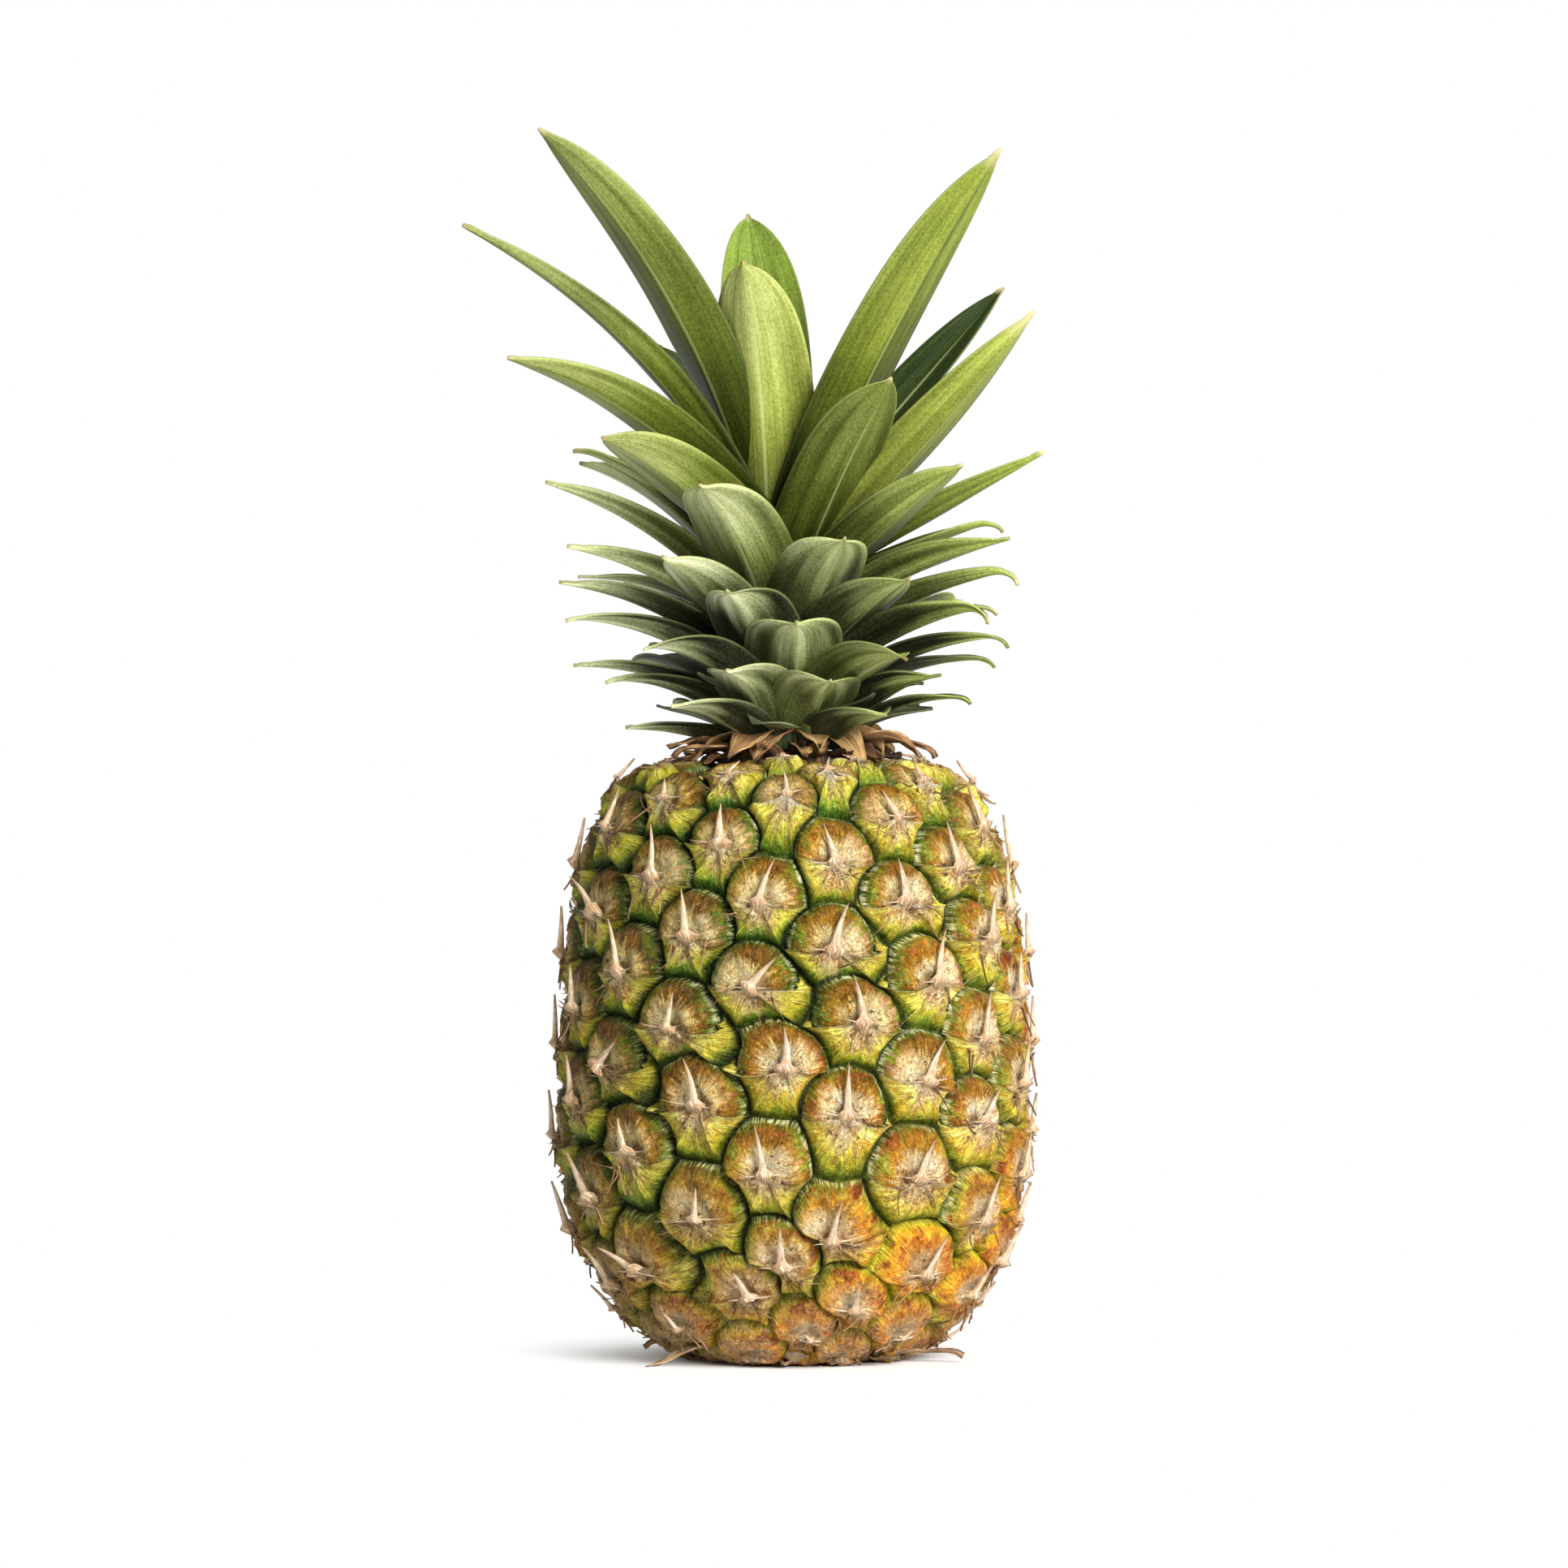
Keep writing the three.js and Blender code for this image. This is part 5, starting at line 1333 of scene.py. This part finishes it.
def makeBracts(name, material, shape):
    form = dryPieces[name]
    points, faces, maps, chances, shades = [], [], [], [], []

    def keep(found, chance, shade):
        faces.append(found[1] + sum(len(p) for p in points))
        points.append(found[0])
        maps.append(found[2])
        chances.append(np.full(found[1].size, float(chance)))
        shades.append(np.full(found[1].size, float(shade)))

    def blade(around, reach, level, *rest):
        heading = math.radians(around)
        start = np.array([reach * math.cos(heading), reach * math.sin(heading), level])
        found = bladeMesh(start, *rest, shape, shape["rows"], shape["columns"])
        return found[0], found[1], found[2][found[1].ravel()]

    for number, (count, reach, level, length, width, leanA, leanB, spread, shade) in enumerate(form["rings"]):
        for k in range(count):
            seed = 50.0 * number + 3.1 * k + len(name)
            azimuth = 360 * (k + 0.7 * noise(seed)) / count
            wobble = pick(-spread, spread, seed + 3)
            keep(blade(azimuth, reach + pick(-1.5, 1.5, seed + 1), level + pick(-0.6, 0.6, seed + 2),
                       azimuth + pick(-14, 14, seed + 4), length * pick(0.7, 1.25, seed + 5),
                       width * pick(0.7, 1.2, seed + 6), (leanA + wobble, leanB + wobble),
                       pick(-25, 25, seed + 7), pick(-40, 30, seed + 8), seed),
                 noise(seed + 9), shade + pick(-0.3, 0.3, seed + 10))
    for k, (around, reach, level, azimuth, length, width, leanA, leanB) in enumerate(form["scraps"]):
        keep(blade(around, reach, level, azimuth, length, width, (leanA, leanB),
                   pick(-30, 30, k + 3), 25, k + 90), noise(k), 0.6)
    keep(ringWall(form["core"], name == "stem_scales"), 0.5, form["coreShade"])
    allPoints = np.concatenate(points)
    allPoints[:, 2] = np.maximum(allPoints[:, 2], bractShape["least"])
    piece = meshPiece(name, allPoints, np.concatenate(faces), material, {"blade": np.concatenate(maps)},
                      {"chance": np.concatenate(chances), "shade": np.concatenate(shades)})
    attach(piece, "root")
    return piece


dryMaterial = makeDryMaterial("dry_bract", *dryPieces["collar_bracts"]["look"])
witheredMaterial = makeDryMaterial("withered_bract", *dryPieces["base_bracts"]["look"])
scaleMaterial = makeDryMaterial("stem_scale", *dryPieces["stem_scales"]["look"])
collar = makeBracts("collar_bracts", dryMaterial, bractShape)
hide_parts("crown_collar")
stem = makeBracts("stem_scales", scaleMaterial, scaleShape)
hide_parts("crown_stem")
base = makeBracts("base_bracts", witheredMaterial, bractShape)
print("collar, stem and base bracts made")


stalkLook = {
    "radius": 10.5, "depth": 9.0, "rings": 14, "sides": 72, "rough": 0.10,
    "outward": [(0.0, "#c3a878"), (0.55, "#b08f5c"), (0.8, "#8a6438"), (1.0, "#4f3319")],
    "pore": "#5f4222",
    "poreScale": 1100.0,
    "roughness": (0.75, 0.95),
    "relief": (0.6, 0.0006),
}


def makeStalkMaterial():
    look = stalkLook
    m = Shading("cut_stalk")
    place = m.objectPlace()
    x, y, _ = m.node("SeparateXYZ", {0: place}).outputs
    away = m.math("SQRT", m.plus(m.times(x, x), m.times(y, y)))
    pores = m.node("TexVoronoi", {"Vector": place, "Scale": look["poreScale"]}).outputs[0]
    cloud = m.noise(place, 220.0, 4.0)
    share = m.times(away, 1000.0 / look["radius"])
    tint = m.ramp(m.plus(share, m.swing(cloud, 0.25)), look["outward"])
    tint = m.mix(m.times(m.range(pores, 0.35, 0.1), 0.6), tint, look["pore"])
    return m.finish(tint, m.range(cloud, 0.3, 0.7, *look["roughness"]), m.relief(pores, *look["relief"]))


def makeStalk(material):
    # side wall and two faces as one skin of rings, from the middle of the cut face to the middle of the top
    radius, depth, rings, sides = (stalkLook[k] for k in ("radius", "depth", "rings", "sides"))
    cut = [(radius * 0.98 * k / rings, 0.0) for k in range(1, rings + 1)]
    wall = [(radius, 0.4), (radius, depth * 0.5), (radius, depth - 0.5)]
    wall += [(radius * 0.97, depth), (radius * 0.5, depth)]
    angle = np.linspace(0, 2 * math.pi, sides + 1)[:-1]
    points = [[0, 0, 0]]
    for r, z in cut + wall:
        rough = stalkLook["rough"] * np.sin(23 * angle + 5 * r) * (z > 0)
        away = r + rough - stalkLook["rough"]
        points += np.stack([away * np.cos(angle), away * np.sin(angle), np.full(sides, z)], -1).tolist()
    points.append([0, 0, depth])
    k = np.arange(sides)
    after = (k + 1) % sides
    rows = len(cut + wall) - 1
    quads = [1 + m * sides + np.stack([k, k + sides, after + sides, after], -1) for m in range(rows)]
    quads = np.concatenate(quads)[:, ::-1]
    last = 1 + rows * sides
    caps = np.concatenate([np.stack([0 * k, 1 + after, 1 + k], -1),
                           np.stack([0 * k + len(points) - 1, last + k, last + after], -1)])
    piece = meshPiece("stalk_cut", points, [quads, caps], material)
    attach(piece, "root")
    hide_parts("stalk_end")


makeStalk(makeStalkMaterial())
print("stalk made")

studio = {
    "cameraX": -2.5, "cameraHeight": 147.0, "cameraBack": 1600.0, "lens": 143.1, "sensor": 36.0, "clip": 30,
    "world": 0.27,              # its strength as a light; behind the fruit it shows plain white
    "whiteFrom": 0.028, "whiteTo": 0.082,  # metres from the fruit over which the floor goes to plain white
    "floorSize": 14, "floorTints": ("#f4f4f2", "#fafaf8"), "floorRoughness": 0.9,
    # power, size, place and target, in watts and metres
    "lights": {
        "key": (40.0, 0.8, (0.62, -1.15, 0.70), (0, 0, 0.11)),
        "fill": (3.5, 1.2, (-1.1, -0.9, 0.45), (0, 0, 0.13)),
        "top": (11.0, 1.0, (0.1, 0.3, 1.3), (0, 0, 0.15)),
    },
}


def areaLight(name, power, size, place, target):
    data = bpy.data.lights.new(name, "AREA")
    data.energy, data.shape, data.size = power, "DISK", size
    lamp = bpy.data.objects.new(name, data)
    lamp.location = place
    lamp.rotation_euler = (Vector(target) - Vector(place)).to_track_quat("-Z", "Y").to_euler()
    scene.collection.objects.link(lamp)


def makeFloor():
    bpy.ops.mesh.primitive_plane_add(size=studio["floorSize"], location=(0, 0, 0))
    floor = bpy.context.object
    floor.name = "floor"
    m = Shading("floor_white")
    place = m.objectPlace()
    away = m.node("VectorMath", {0: place}, operation="LENGTH").outputs["Value"]
    white = m.range(away, studio["whiteFrom"], studio["whiteTo"])
    pale = m.mix(white, m.mix(m.noise(place, 40.0), *studio["floorTints"]), "#000000")
    floor.data.materials.append(m.finish(pale, studio["floorRoughness"], Specular_IOR_Level=0.0,
                                         Emission_Color="#ffffff", Emission_Strength=white))


def makeWorld():  # white behind the fruit, softer as a light
    world = bpy.data.worlds.new("studio")
    world.use_nodes = True
    nodes, links = world.node_tree.nodes, world.node_tree.links
    seen = nodes.new("ShaderNodeLightPath")
    strength = nodes.new("ShaderNodeMapRange")
    strength.inputs[3].default_value = studio["world"]
    links.new(seen.outputs["Is Camera Ray"], strength.inputs[0])
    links.new(strength.outputs[0], nodes["Background"].inputs[1])
    nodes["Background"].inputs[0].default_value = colour("#ffffff")
    scene.world = world


def makeCamera():
    data = bpy.data.cameras.new("camera")
    data.sensor_width, data.lens, data.clip_end = studio["sensor"], studio["lens"], studio["clip"]
    camera = bpy.data.objects.new("camera", data)
    camera.location = (studio["cameraX"] * mm, -studio["cameraBack"] * mm, studio["cameraHeight"] * mm)
    camera.rotation_euler = (math.pi / 2, 0, 0)
    scene.collection.objects.link(camera)
    scene.camera = camera
    scene.view_settings.view_transform = "Standard"


makeFloor()
makeWorld()
for lightName, light in studio["lights"].items():
    areaLight(lightName, *light)
makeCamera()
print("studio made")
